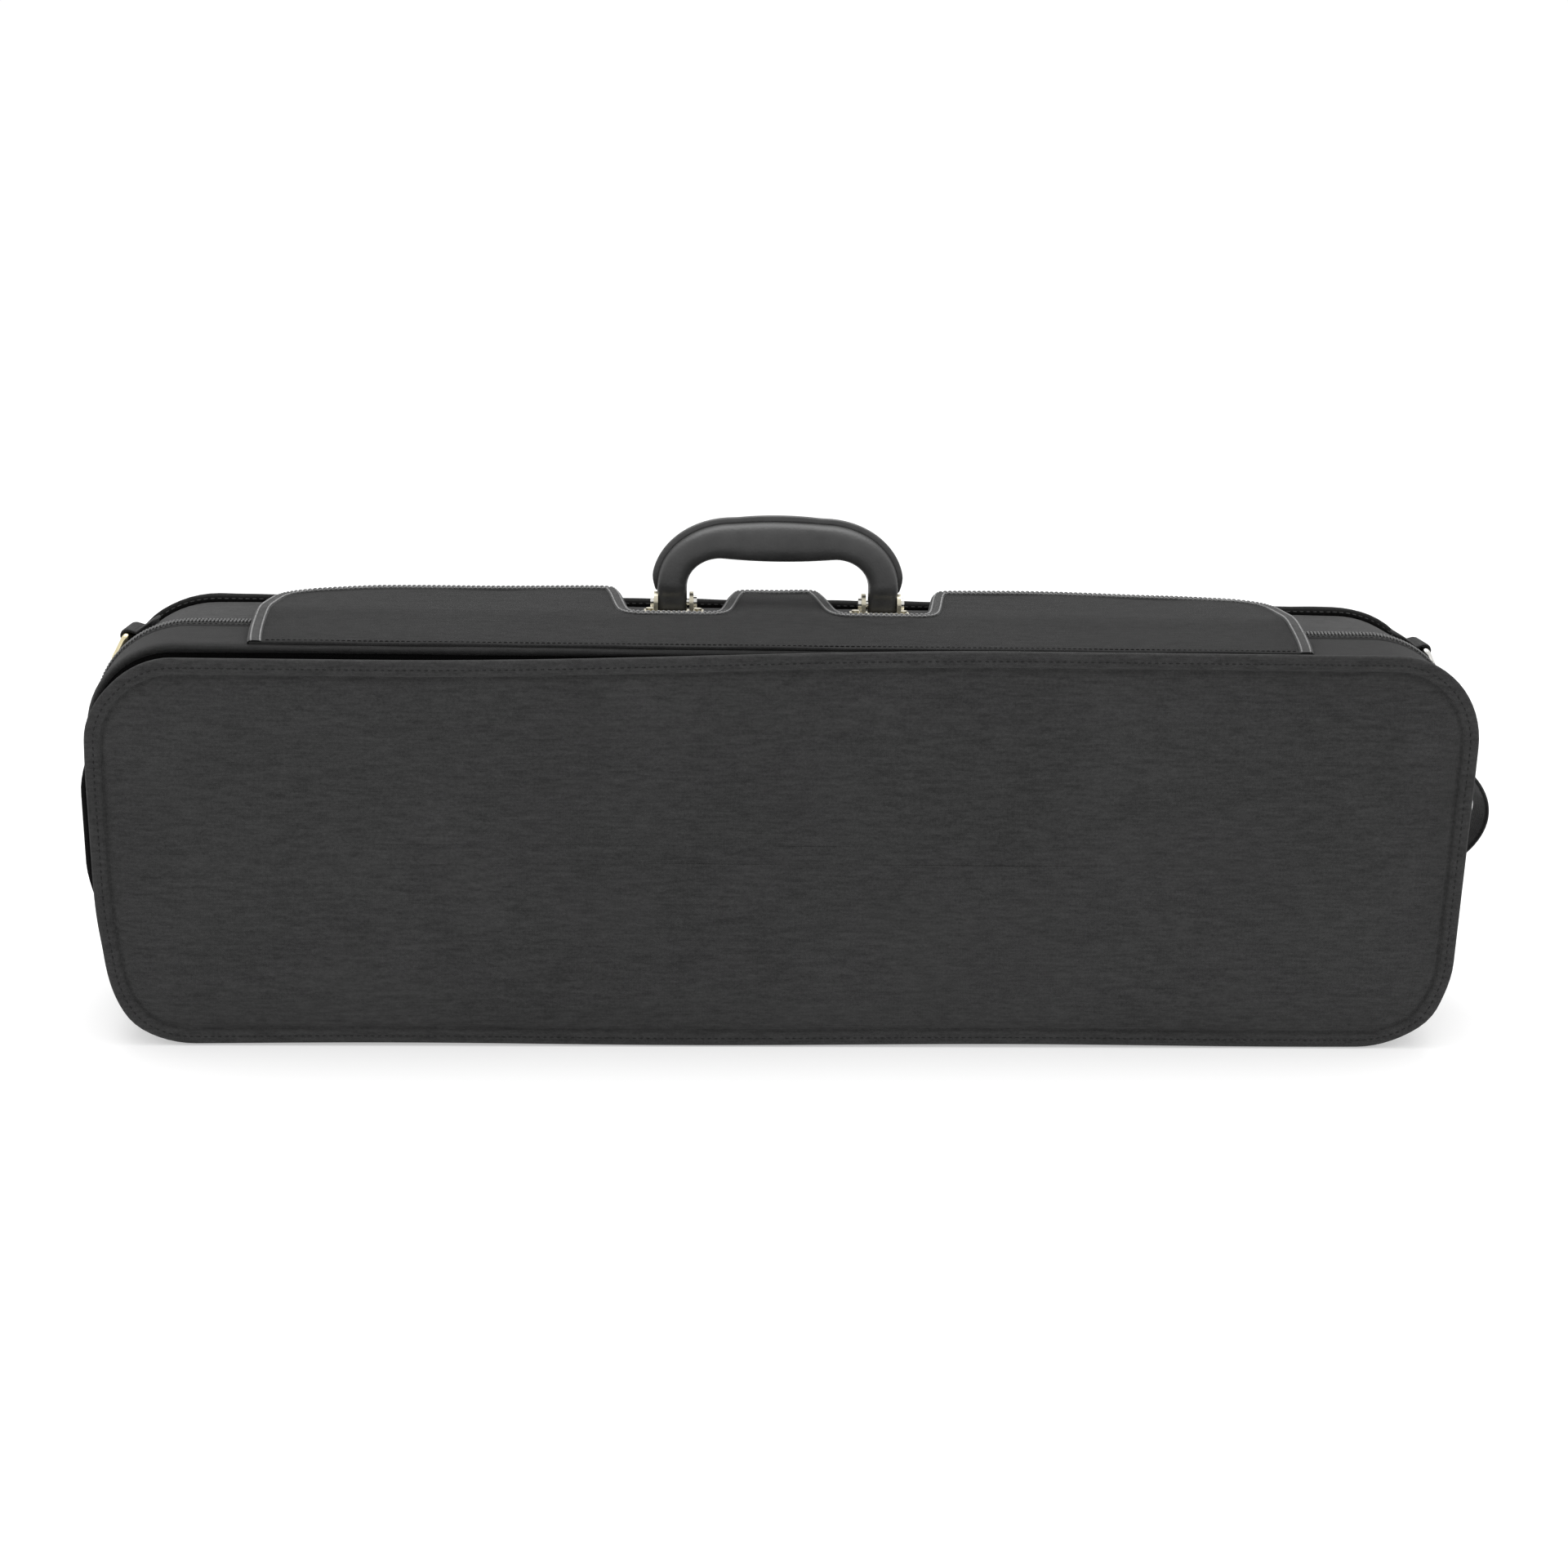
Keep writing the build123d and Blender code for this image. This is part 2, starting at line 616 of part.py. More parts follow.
def corner_tab(name, side):
    """Webbing tab over the rounded corner, with a tube that holds the ring's bar."""
    with BuildPart() as tab:
        with BuildSketch(Plane.XZ.offset(-fitting_y)):
            with BuildLine():
                low_arc = CenterArc(corner_centre, top_radius + tab_gap, corner_angle, tab_sweep)
                high_arc = CenterArc(corner_centre, top_radius + tab_gap + tab_wall, corner_angle, tab_sweep)
                Line(low_arc @ 0, high_arc @ 0)
                Line(low_arc @ 1, high_arc @ 1)
            make_face()
            with Locations(corner_bar):
                Circle(tab_tube)
                Circle(ring_wire + running_clearance, mode=Mode.SUBTRACT)
        extrude(amount=webbing_width / 2, both=True)
        if side < 0:
            mirror(about=Plane.YZ, mode=Mode.REPLACE)
    save(tab, name)


corner_tab("corner_tab_right", 1)
corner_tab("corner_tab_left", -1)
ring(corner_bar, corner_ring_tilt, "corner_ring_right")
ring((-corner_bar[0], corner_bar[1]), -corner_ring_tilt, "corner_ring_left")
ring(side_bar, 0, "side_ring")

side_tab_length = 26.0
with BuildPart() as side_tab:
    with BuildSketch(Plane.XZ.offset(-fitting_y)):
        with Locations((-half_length - tab_gap - tab_wall / 2, side_bar[1] + side_tab_length / 2)):
            Rectangle(tab_wall, side_tab_length)
        with Locations(side_bar):
            Circle(tab_tube)
            Circle(ring_wire + running_clearance, mode=Mode.SUBTRACT)
    extrude(amount=webbing_width / 2, both=True)
save(side_tab, "side_tab")

loop_z = 119.0
loop_half = 38.0
loop_reach = 34.0
loop_wall = 3.0
loop_foot = 20.0
loop_overlap = 6.0
with BuildPart() as end_grab_loop:
    wall_x = half_length + tab_gap
    with BuildSketch(Plane.XZ.offset(-fitting_y)):
        with BuildLine():
            outer_ends = [(wall_x, loop_z + loop_half), (wall_x, loop_z - loop_half)]
            inner_half = loop_half - loop_overlap
            inner_ends = [(wall_x, loop_z + inner_half), (wall_x, loop_z - inner_half)]
            ThreePointArc(outer_ends[0], (wall_x + loop_reach, loop_z), outer_ends[1])
            ThreePointArc(inner_ends[0], (wall_x + loop_reach - loop_wall, loop_z), inner_ends[1])
            Line(outer_ends[0], inner_ends[0])
            Line(outer_ends[1], inner_ends[1])
        make_face()
        for end in (-1, 1):
            with Locations((wall_x + loop_wall / 2, loop_z + end * (inner_half + loop_foot / 2))):
                Rectangle(loop_wall, loop_foot)
    extrude(amount=webbing_width / 2, both=True)
save(end_grab_loop, "end_grab_loop")
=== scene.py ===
"""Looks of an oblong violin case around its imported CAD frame. Metres, Z up, lid towards -Y."""

from math import cos, pi, radians, sin, sqrt, tau

import bmesh
import bpy
import numpy as np
from mathutils import Matrix, Vector, noise


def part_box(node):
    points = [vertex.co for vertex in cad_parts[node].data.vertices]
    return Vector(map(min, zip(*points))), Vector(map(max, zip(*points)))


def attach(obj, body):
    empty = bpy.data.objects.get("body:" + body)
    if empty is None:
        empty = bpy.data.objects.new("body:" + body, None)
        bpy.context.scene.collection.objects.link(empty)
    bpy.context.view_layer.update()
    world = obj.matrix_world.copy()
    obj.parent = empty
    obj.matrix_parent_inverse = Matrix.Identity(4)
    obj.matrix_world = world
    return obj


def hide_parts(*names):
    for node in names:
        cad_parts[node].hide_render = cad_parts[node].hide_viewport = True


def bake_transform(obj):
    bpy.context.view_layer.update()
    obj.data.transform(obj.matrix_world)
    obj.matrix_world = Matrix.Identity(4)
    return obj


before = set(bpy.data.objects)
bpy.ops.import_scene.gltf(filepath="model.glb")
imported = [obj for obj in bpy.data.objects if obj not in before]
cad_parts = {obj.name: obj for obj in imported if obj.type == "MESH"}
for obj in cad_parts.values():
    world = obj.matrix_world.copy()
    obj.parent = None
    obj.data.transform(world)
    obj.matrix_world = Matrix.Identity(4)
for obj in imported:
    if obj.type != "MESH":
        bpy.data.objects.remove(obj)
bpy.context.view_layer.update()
MM = 0.001

# ------------------------------------------------------------------ sizes read from the frame
base_low, base_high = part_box("base_cover")
lid_low, lid_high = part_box("lid_cover")
pocket_low, pocket_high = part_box("music_pocket")
HALF, HEIGHT, BACK = base_high.x, base_high.z, base_high.y
BASE_FRONT, LID_BACK, LID_FRONT = base_low.y, lid_high.y, lid_low.y
PARTING = (BASE_FRONT + LID_BACK) / 2
TAPER, TOP_TAPER = HALF - pocket_high.x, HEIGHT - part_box("pocket_binding")[1].z
POCKET_FRONT = pocket_low.y
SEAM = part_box("rear_binding")[0].y

# Corner radii of the outline, above and below, and how much the upper ones shrink towards the lid's front
R_TOP, R_LOW, R_TAPER = 58 * MM, 53 * MM, 7 * MM
LEAST_RADIUS = 6 * MM

# How many points go along the outline's straight runs and arcs
ALONG_FOOT, ALONG_END, ALONG_TOP, ROUND_CORNER = 60, 26, 130, 16


# ------------------------------------------------------------------ materials
class Shading:
    """A node material, with its nodes wired by name."""

    def __init__(self, name, colour, roughness, **sockets):
        self.material = bpy.data.materials.new(name)
        self.material.use_nodes = True
        self.tree = self.material.node_tree
        self.shader = self.tree.nodes["Principled BSDF"]
        self.shader.inputs["Base Color"].default_value = (*colour, 1)
        self.shader.inputs["Roughness"].default_value = roughness
        for socket, value in sockets.items():
            self.shader.inputs[socket.replace("_", " ")].default_value = value
        self.place = self.node("ShaderNodeTexCoord").outputs["Object"]

    def node(self, kind, inputs=None, **settings):
        made = self.tree.nodes.new(kind)
        for key, value in settings.items():
            setattr(made, key, value)
        for key, value in (inputs or {}).items():
            if isinstance(value, bpy.types.NodeSocket):
                self.tree.links.new(value, made.inputs[key])
            else:
                made.inputs[key].default_value = value
        return made

    def math(self, operation, first, second=0.0):
        return self.node("ShaderNodeMath", {0: first, 1: second}, operation=operation).outputs[0]

    def noise(self, stretch, detail=3.0, rough=0.6):
        """Noise between 0 and 1, with its own scale along each axis."""
        mapped = self.node("ShaderNodeMapping", {"Vector": self.place, "Scale": stretch}).outputs[0]
        inputs = {"Vector": mapped, "Scale": 1.0, "Detail": detail, "Roughness": rough}
        return self.node("ShaderNodeTexNoise", inputs).outputs["Fac"]

    def weave(self, pitch):
        """Over-and-under lattice that reads as a plain weave on any face along the axes."""
        axes = self.node("ShaderNodeSeparateXYZ", {"Vector": self.place}).outputs
        waves = [self.math("SINE", self.math("MULTIPLY", axis, tau / pitch)) for axis in axes]
        pairs = [self.math("MULTIPLY", waves[a], waves[b]) for a, b in ((0, 1), (1, 2), (2, 0))]
        return self.math("ADD", self.math("ADD", pairs[0], pairs[1]), pairs[2])

    def mix(self, *layers):
        """Sum of layers, each with its weight."""
        total = self.math("MULTIPLY", *layers[0])
        for layer in layers[1:]:
            total = self.math("ADD", total, self.math("MULTIPLY", *layer))
        return total

    def colour(self, share, dark, light, low=0.3, high=0.7):
        ramp = self.node("ShaderNodeValToRGB", {"Fac": share})
        for stop, position, paint in zip(ramp.color_ramp.elements, (low, high), (dark, light)):
            stop.position = position
            stop.color = (*paint, 1)
        self.tree.links.new(ramp.outputs["Color"], self.shader.inputs["Base Color"])

    def rough(self, share, low, high):
        spread = self.node("ShaderNodeMapRange", {"Value": share, "To Min": low, "To Max": high})
        self.tree.links.new(spread.outputs[0], self.shader.inputs["Roughness"])

    def bump(self, height, depth, strength=1.0):
        before = self.shader.inputs["Normal"].links
        inputs = {"Height": height, "Distance": depth, "Strength": strength}
        if before:
            inputs["Normal"] = before[0].from_socket
        made = self.node("ShaderNodeBump", inputs)
        self.tree.links.new(made.outputs[0], self.shader.inputs["Normal"])


def grey(value):
    return (value, value, value)


def woven(name, level, pitch, slub, roughness=0.9, sheen=0.06, depth=0.25):
    """Matt woven cloth: thread lattice, slubs, fine grain and cloudy wear. Pitch and depth in millimetres."""
    cloth = Shading(
        name, grey(level), roughness, Specular_IOR_Level=0.12, Sheen_Weight=sheen, Sheen_Roughness=0.5
    )
    streaks = cloth.noise(slub, 4)
    clouds = cloth.noise((9, 9, 9), 5)
    grain = cloth.noise((620, 760, 760), 2)
    lattice = cloth.weave(pitch * MM)
    share = cloth.mix((streaks, 0.45), (clouds, 0.2), (grain, 0.35), (lattice, 0.035))
    cloth.colour(share, grey(level * 0.62), grey(level * 1.4), 0.36, 0.66)
    cloth.rough(clouds, roughness - 0.06, roughness + 0.06)
    cloth.bump(lattice, depth * MM * 0.4, 0.7)
    cloth.bump(cloth.noise((1500, 1500, 1500), 2), depth * MM, 0.5)
    return cloth.material


def plush_cloth(name, colour):
    pile = Shading(name, colour, 0.95, Specular_IOR_Level=0.2, Sheen_Weight=0.6, Sheen_Roughness=0.4)
    clouds = pile.noise((14, 14, 14), 5)
    pile.colour(clouds, [c * 0.6 for c in colour], [c * 1.5 for c in colour])
    pile.bump(pile.noise((900, 900, 900), 3, 0.8), 0.5 * MM)
    pile.bump(pile.noise((90, 90, 90), 2), 0.8 * MM, 0.5)
    return pile.material


def plated(name, colour, roughness):
    metal = Shading(name, colour, roughness, Metallic=1.0)
    scuffs = metal.noise((160, 160, 160), 5, 0.7)
    metal.rough(scuffs, roughness * 0.6, roughness * 1.7)
    metal.colour(scuffs, [c * 0.86 for c in colour], colour)
    metal.bump(metal.noise((700, 700, 700), 2), 0.02 * MM)
    return metal.material


def moulded(name, level, roughness, grain, depth):
    """Black moulded skin with a pebble grain."""
    skin = Shading(name, grey(level), roughness, Specular_IOR_Level=0.45)
    mapped = skin.node("ShaderNodeMapping", {"Vector": skin.place, "Scale": (grain, grain, grain)})
    inputs = {"Vector": mapped.outputs[0], "Scale": 1.0}
    pebbles = skin.node("ShaderNodeTexVoronoi", inputs, feature="SMOOTH_F1")
    clouds = skin.noise((60, 60, 60), 4)
    skin.colour(clouds, grey(level * 0.8), grey(level * 1.3))
    skin.rough(clouds, roughness - 0.07, roughness + 0.1)
    skin.bump(pebbles.outputs["Distance"], depth * MM, 0.8)
    return skin.material


# How often the thread's slubs repeat along each axis: drawn out along X on the covers, even on tapes
ALONG_X, EVEN, FINE = (90, 500, 500), (300, 300, 300), (900, 900, 900)

cover_cloth = woven("cover_cloth", 0.038, 1.0, ALONG_X)
# The base's cloth at under half its level: painted shade over the whole lid cover, for the darker strip
# between the zip and the pocket's mouth
lid_cloth = woven("lid_cloth", 0.0165, 1.0, ALONG_X)
panel_cloth = woven("panel_cloth", 0.033, 1.0, ALONG_X)
flap_cloth = woven("flap_cloth", 0.0185, 1.0, ALONG_X, 0.88, 0.03)
flap_tape_cloth = woven("flap_tape_cloth", 0.04, 0.8, EVEN, 0.8, 0.1, 0.3)
edge_cloth = woven("edge_cloth", 0.007, 0.8, EVEN, 0.8, 0.03, 0.3)
# Near-black cloth for the lid's front behind the pocket: painted shade for the dark gap at the pocket's mouth
pocket_lining = woven("pocket_lining", 0.002, 1.0, EVEN, 1.0, 0.0)
strap_cloth = woven("strap_cloth", 0.014, 1.3, EVEN, 0.6, 0.08, 0.5)
zip_cloth = woven("zip_cloth", 0.01, 0.7, EVEN, 0.85, 0.1, 0.2)
plush = plush_cloth("plush", (0.035, 0.04, 0.07))
lining = plush_cloth("lining", (0.028, 0.03, 0.04))
zip_nylon = moulded("zip_nylon", 0.06, 0.42, 900, 0.05)
grip_skin = moulded("grip_skin", 0.036, 0.42, 700, 0.12)
key_plastic = moulded("key_plastic", 0.02, 0.3, 1200, 0.03)
dark_thread = woven("dark_thread", 0.012, 0.4, FINE, 0.7)
grey_thread_dim = woven("grey_thread_dim", 0.045, 0.4, FINE, 0.7, 0.1)
grey_thread = woven("grey_thread", 0.26, 0.4, FINE, 0.65, 0.2)
nickel = plated("nickel", (0.74, 0.73, 0.70), 0.16)
brass = plated("brass", (0.80, 0.71, 0.46), 0.2)
pale_brass = plated("pale_brass", (0.62, 0.58, 0.46), 0.3)


# ------------------------------------------------------------------ mesh helpers
def new_piece(name, points, faces, material, smooth=True):
    mesh = bpy.data.meshes.new(name)
    mesh.from_pydata([tuple(p) for p in points], [], faces)
    mesh.update()
    if smooth:
        mesh.shade_smooth()
    mesh.materials.append(material)
    piece = bpy.data.objects.new(name, mesh)
    bpy.context.scene.collection.objects.link(piece)
    return piece


def loft(name, rings, material, closed=True, caps=(False, False), skip=None):
    """Quads between rings of equally many points. skip says for each column whether it is left out."""
    count = len(rings[0])
    columns = range(count if closed else count - 1)
    faces = []
    for first in range(0, (len(rings) - 1) * count, count):
        for i in columns:
            if skip is None or not skip[i]:
                a, b = first + i, first + (i + 1) % count
                faces.append((a, b, b + count, a + count))
    if caps[0]:
        faces.append(tuple(reversed(range(count))))
    if caps[1]:
        faces.append(tuple((len(rings) - 1) * count + i for i in range(count)))
    piece = new_piece(name, np.concatenate(rings), faces, material)
    if skip is not None:
        drop_loose_points(piece)
    return piece


def drop_loose_points(piece):
    mesh = bmesh.new()
    mesh.from_mesh(piece.data)
    loose = [point for point in mesh.verts if not point.link_faces]
    bmesh.ops.delete(mesh, geom=loose, context="VERTS")
    mesh.to_mesh(piece.data)
    mesh.free()


def modify(piece, kind, **settings):
    made = piece.modifiers.new(kind.lower(), kind)
    for key, value in settings.items():
        setattr(made, key, value)
    return made


def smooth_step(value, low, high):
    share = np.clip((np.asarray(value, float) - low) / (high - low), 0, 1)
    return share * share * (3 - 2 * share)


def ruffle(piece, amount, size, seed=0.0):
    """Move each point a little along its normal, by smooth noise."""
    vertices = piece.data.vertices
    places = np.array([vertex.co for vertex in vertices])
    normals = np.array([vertex.normal for vertex in vertices])
    shift = Vector((seed, seed * 2, -seed))
    samples = np.array([noise.noise(Vector(place) / size + shift) for place in places])
    places += normals * (samples * amount)[:, None]
    vertices.foreach_set("co", places.ravel())
    piece.data.update()


def outline(side, low, top, r_low, r_top):
    """Points round an oblong, anticlockwise from the middle of its foot, as many for any size."""

    def arc(x, z, radius, start):
        angles = np.radians(np.linspace(start, start + 90, ROUND_CORNER + 1))
        return np.stack([x + radius * np.cos(angles), z + radius * np.sin(angles)], 1)

    def run(start, end, count):
        return np.linspace(start, end, count, endpoint=False)[1:]

    corners = [
        arc(side - r_low, low + r_low, r_low, -90),
        arc(side - r_top, top - r_top, r_top, 0),
        arc(-side + r_top, top - r_top, r_top, 90),
        arc(-side + r_low, low + r_low, r_low, 180),
    ]
    middle = np.array([0.0, low])
    parts = [
        np.linspace(middle, corners[0][0], ALONG_FOOT, endpoint=False), corners[0],
        run(corners[0][-1], corners[1][0], ALONG_END), corners[1],
        run(corners[1][-1], corners[2][0], ALONG_TOP), corners[2],
        run(corners[2][-1], corners[3][0], ALONG_END), corners[3],
        run(corners[3][-1], middle, ALONG_FOOT),
    ]
    return np.concatenate(parts)


def section(y, inset=0.0, depth=None):
    """Ring of the case's outline at depth y, moved inwards by inset.

    Its size is the case's size there, or at another depth if one is given.
    """
    at = y if depth is None else depth
    share = max(0.0, (PARTING - at) / (PARTING - LID_FRONT))
    side = HALF - TAPER * share - inset
    top = HEIGHT - TOP_TAPER * share - inset
    low = max(0.0, inset)
    least = min(LEAST_RADIUS, (top - low) / 3)
    r_low = max(R_LOW - inset, least)
    r_top = max(R_TOP - R_TAPER * share - inset, least)
    flat = outline(side, low, top, r_low, r_top)
    return np.stack([flat[:, 0], np.full(len(flat), y), flat[:, 1]], 1)


def finish_piece(piece, body, slot, *nodes):
    """The piece rides on a body and stands for its CAD nodes. slot is not used."""
    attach(piece, body)
    if nodes:
        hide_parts(*nodes)


# ------------------------------------------------------------------ stitches
# Profile of one stitch: how far along, how wide, and how far off the cloth, as shares of its size
STITCH = ((-0.5, 0.35, -0.7), (-0.3, 0.9, -0.1), (0.0, 1.0, 0.15), (0.3, 0.9, -0.1), (0.5, 0.35, -0.7))
STITCH_SIDES = 6


def at_marks(marks, along, values):
    """Rows of values read off at marks, where along says how far on each row lies."""
    return np.stack([np.interp(marks, along, column) for column in values.T], 1)


def unit(rows):
    return rows / np.linalg.norm(rows, axis=1)[:, None]


def even_line(line, pitch):
    """The same line with evenly spaced points."""
    steps = np.linalg.norm(np.diff(line, axis=0), axis=1)
    along = np.concatenate([[0], np.cumsum(steps)])
    return at_marks(np.linspace(0, along[-1], int(along[-1] / pitch)), along, line)


def walk(path, pitch):
    """Evenly spaced places along a polyline, each with its direction."""
    path = np.asarray(path, float)
    steps = np.linalg.norm(np.diff(path, axis=0), axis=1)
    along = np.concatenate([[0], np.cumsum(steps)])
    count = max(2, int(along[-1] / pitch))
    marks = (np.arange(count) + 0.5) * along[-1] / count
    reach = pitch * 0.3
    places, ahead, behind = (at_marks(marks + step, along, path) for step in (0, reach, -reach))
    return places, unit(ahead - behind)


def stitch_row(name, path, outward, pitch, length, radius, material, tilt=0.0):
    """Row of stitches, each a spindle of thread that dips into the cloth at both ends.

    outward is the cloth's normal, or one normal for each point of the path.
    """
    places, directions = walk(path, pitch)
    outward = np.asarray(outward, float)
    if outward.ndim == 1:
        normals = np.broadcast_to(outward, places.shape)
    else:
        normals = at_marks(np.linspace(0, 1, len(places)), np.linspace(0, 1, len(outward)), outward)
    sides = unit(np.cross(directions, normals))
    normals = np.cross(sides, directions)
    if tilt:
        directions = directions * cos(tilt) + sides * sin(tilt)
        sides = np.cross(directions, normals)
    turns = [tau * k / STITCH_SIDES for k in range(STITCH_SIDES)]
    points, faces = [], []
    for place, direction, side, normal in zip(places, directions, sides, normals):
        first = len(points)
        for share, width, lift in STITCH:
            middle = place + direction * share * length + normal * lift * radius
            for turn in turns:
                points.append(middle + (side * cos(turn) + normal * sin(turn)) * radius * width)
        faces += spindle_faces(first)
    return new_piece(name, points, faces, material)


def spindle_faces(first):
    """Faces of one stitch whose points start at index first."""
    faces = []
    for ring in range(first, first + (len(STITCH) - 1) * STITCH_SIDES, STITCH_SIDES):
        for k in range(STITCH_SIDES):
            a, b = ring + k, ring + (k + 1) % STITCH_SIDES
            faces.append((a, b, b + STITCH_SIDES, a + STITCH_SIDES))
    last = first + (len(STITCH) - 1) * STITCH_SIDES
    faces.append(tuple(first + k for k in reversed(range(STITCH_SIDES))))
    faces.append(tuple(last + k for k in range(STITCH_SIDES)))
    return faces


# ------------------------------------------------------------------ covers
FORWARD, BACKWARD, UPWARD = (0, -1, 0), (0, 1, 0), (0, 0, 1)

# How far in from the edge each ring of a filled face lies
FACE_INSETS = (0.112, 0.094, 0.076, 0.06, 0.046, 0.034, 0.024, 0.016, 0.0105, 0.007)

# The back's cloth starts a little under the binding and rises towards the middle
BACK_START, BACK_RISE, BACK_REACH = -0.6 * MM, 1.4 * MM, 60 * MM


def crown(inset, rise, reach):
    """Height of a gently filled face at a distance from its edge."""
    share = min(inset / reach, 1.0)
    return rise * (1 - (1 - share) ** 2)


def rings_at(y, profile, depth=None):
    """Rings of the case's outline for a profile of (depth from y, inset) pairs in millimetres."""
    return [section(y + off * MM, inset * MM, depth) for off, inset in profile]


def make_base_cover():
    rings = []
    for inset in FACE_INSETS:
        rings.append(section(BACK + BACK_START + crown(inset, BACK_RISE, BACK_REACH), inset))
    rings += rings_at(BACK, ((-1.5, 3.0),))
    rings += rings_at(SEAM, ((2.0, 1.5), (-0.5, 0.5)))
    rings += [section(y) for y in np.linspace(SEAM - 2 * MM, BASE_FRONT + 1 * MM, 12)]
    rings += rings_at(BASE_FRONT, ((0.0, 0.4), (0.0, 2.0), (3.0, 2.0)))
    cover = loft("base_cover_cloth", rings, cover_cloth, caps=(True, False))
    ruffle(cover, 0.5 * MM, 0.045, 3.0)
    finish_piece(cover, "base", "cover_cloth", "base_cover")


def make_lid_cover():
    shoulder = ((2.5, 0.3), (0.8, 1.2), (0.0, 2.4), (0.2, 3.6), (1.4, 4.4), (2.6, 4.6))
    rings = rings_at(LID_BACK, ((-3.0, 2.0), (0.0, 2.0), (0.0, 0.4)))
    rings += [section(y) for y in np.linspace(LID_BACK - 1 * MM, LID_FRONT + 5 * MM, 11)]
    rings += rings_at(LID_FRONT, shoulder, LID_FRONT)
    # The lid cover takes the darkened cloth as painted shade
    cover = loft("lid_cover_cloth", rings, lid_cloth)
    ruffle(cover, 0.5 * MM, 0.05, 7.0)
    finish_piece(cover, "lid", "cover_cloth", "lid_cover")


def make_pocket_inside():
    """The lid's front, the back wall of the pocket, in near-black cloth as painted shade for the dark gap
    behind the pocket's mouth.
    """
    rings = rings_at(LID_FRONT, [(1.2, inset) for inset in (4, 10, 30, 60, 90, 112)], LID_FRONT)
    wall = loft("pocket_inside", rings, pocket_lining, caps=(False, True))
    finish_piece(wall, "lid", "cover_cloth")


def make_rear_binding():
    profile = (
        (0.4, 5.2), (0.9, 4.2), (1.0, 0.0), (0.6, -2.8), (-0.8, -4.0), (-3.4, -4.3),
        (-6.0, -4.1), (-7.3, -3.2), (-7.7, -1.6), (-7.3, -0.2), (-6.0, 0.4),
    )
    binding = loft("rear_binding_tape", rings_at(BACK, profile), edge_cloth)
    ruffle(binding, 0.5 * MM, 0.02, 11.0)
    finish_piece(binding, "base", "binding_tape", "rear_binding")
    for name, off, inset, outward in (
        ("rear_stitches_front", -7.7, -1.9, FORWARD),
        ("rear_stitches_back", 1.0, 1.5, BACKWARD),
    ):
        line = section(BACK + off * MM, inset * MM)
        row = stitch_row(name, line, outward, 4.2 * MM, 2.8 * MM, 0.35 * MM, grey_thread_dim)
        finish_piece(row, "base", "binding_tape")


def make_spine_cloth():
    """Cloth over the textile hinge, in place of its CAD node; it rides on no body and stays as made."""
    xs = np.linspace(-HALF + R_LOW + 10 * MM, HALF - R_LOW - 10 * MM, 90)
    rings = []
    for y in np.linspace(PARTING - 18 * MM, PARTING + 18 * MM, 25):
        rings.append(np.stack([xs, np.full(len(xs), y), np.full(len(xs), -0.3 * MM)], 1))
    cloth = loft("spine_cloth", rings, cover_cloth, closed=False)
    modify(cloth, "SOLIDIFY", thickness=0.5 * MM, offset=0)
    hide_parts("spine_hinge_tape")
    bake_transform(cloth)


# ------------------------------------------------------------------ music pocket
PANEL_TOP = HEIGHT - TOP_TAPER
PANEL_BACK = POCKET_FRONT + 2.2 * MM

# The mouth runs from the left corner, where it reaches down to CORNER_LINE, almost to the right one
MOUTH_START, MOUTH_END = -HALF + 60 * MM, HALF - 75 * MM
CORNER_LINE = PANEL_TOP - 45 * MM

# How far the mouth hangs forward and down where it gapes, and how far it stands up where it doesn't
MOUTH_FORWARD, MOUTH_DROP, MOUTH_RISE = 4.0 * MM, 6.2 * MM, 1.8 * MM
FACE_UNEVEN = 0.9 * MM
FOOT_RIPPLE, RIPPLE_LENGTH, RIPPLE_START = 0.6 * MM, 57 * MM, -50 * MM
GUSSET_BULGE = 6.4 * MM


def hump(value, middle, width):
    """One at the middle, falling off softly to both sides."""
    return np.exp(-(((value - middle) / width) ** 2))


def pocket_shift(points):
    """How the slack pocket hangs: its mouth gapes on the left, its foot ripples, its face is uneven."""
    x, z = points[:, 0], points[:, 2]
    gape = 1 - smooth_step(x, -230 * MM, 130 * MM)
    near_top = smooth_step(z, PANEL_TOP - 80 * MM, PANEL_TOP - 8 * MM)
    near_foot = 1 - smooth_step(z, 6 * MM, 45 * MM)
    waves = np.array([noise.noise(Vector((a * 9, 0.3, b * 11))) for a, b in zip(x, z)])
    face = smooth_step(z, 0, 40 * MM) * (1 - smooth_step(z, PANEL_TOP - 40 * MM, PANEL_TOP))
    left, right = (smooth_step(side * x, HALF - 90 * MM, HALF - 20 * MM) for side in (-1, 1))
    pulled = 3.6 * hump(z, 46 * MM, 25 * MM) - 2.6 * hump(z, 8 * MM, 12 * MM)
    moved = points.copy()
    moved[:, 0] += left * (0.8 + pulled + 3.2 * near_top) * MM
    moved[:, 0] += right * 3.2 * MM * hump(z, 15 * MM, 13 * MM)
    moved[:, 1] -= MOUTH_FORWARD * gape * near_top + FACE_UNEVEN * waves * face
    moved[:, 2] += (MOUTH_RISE * (1 - gape) - MOUTH_DROP * gape) * near_top
    moved[:, 2] += FOOT_RIPPLE * (1 - np.cos((x - RIPPLE_START) / RIPPLE_LENGTH)) * near_foot
    return moved


def pocket_ring(y, inset):
    return pocket_shift(section(y, inset, LID_FRONT))


def pocket_rings(profile):
    """Rings of the pocket for a profile of (depth from its front, inset) pairs in millimetres."""
    return [pocket_ring(POCKET_FRONT + off * MM, inset * MM) for off, inset in profile]


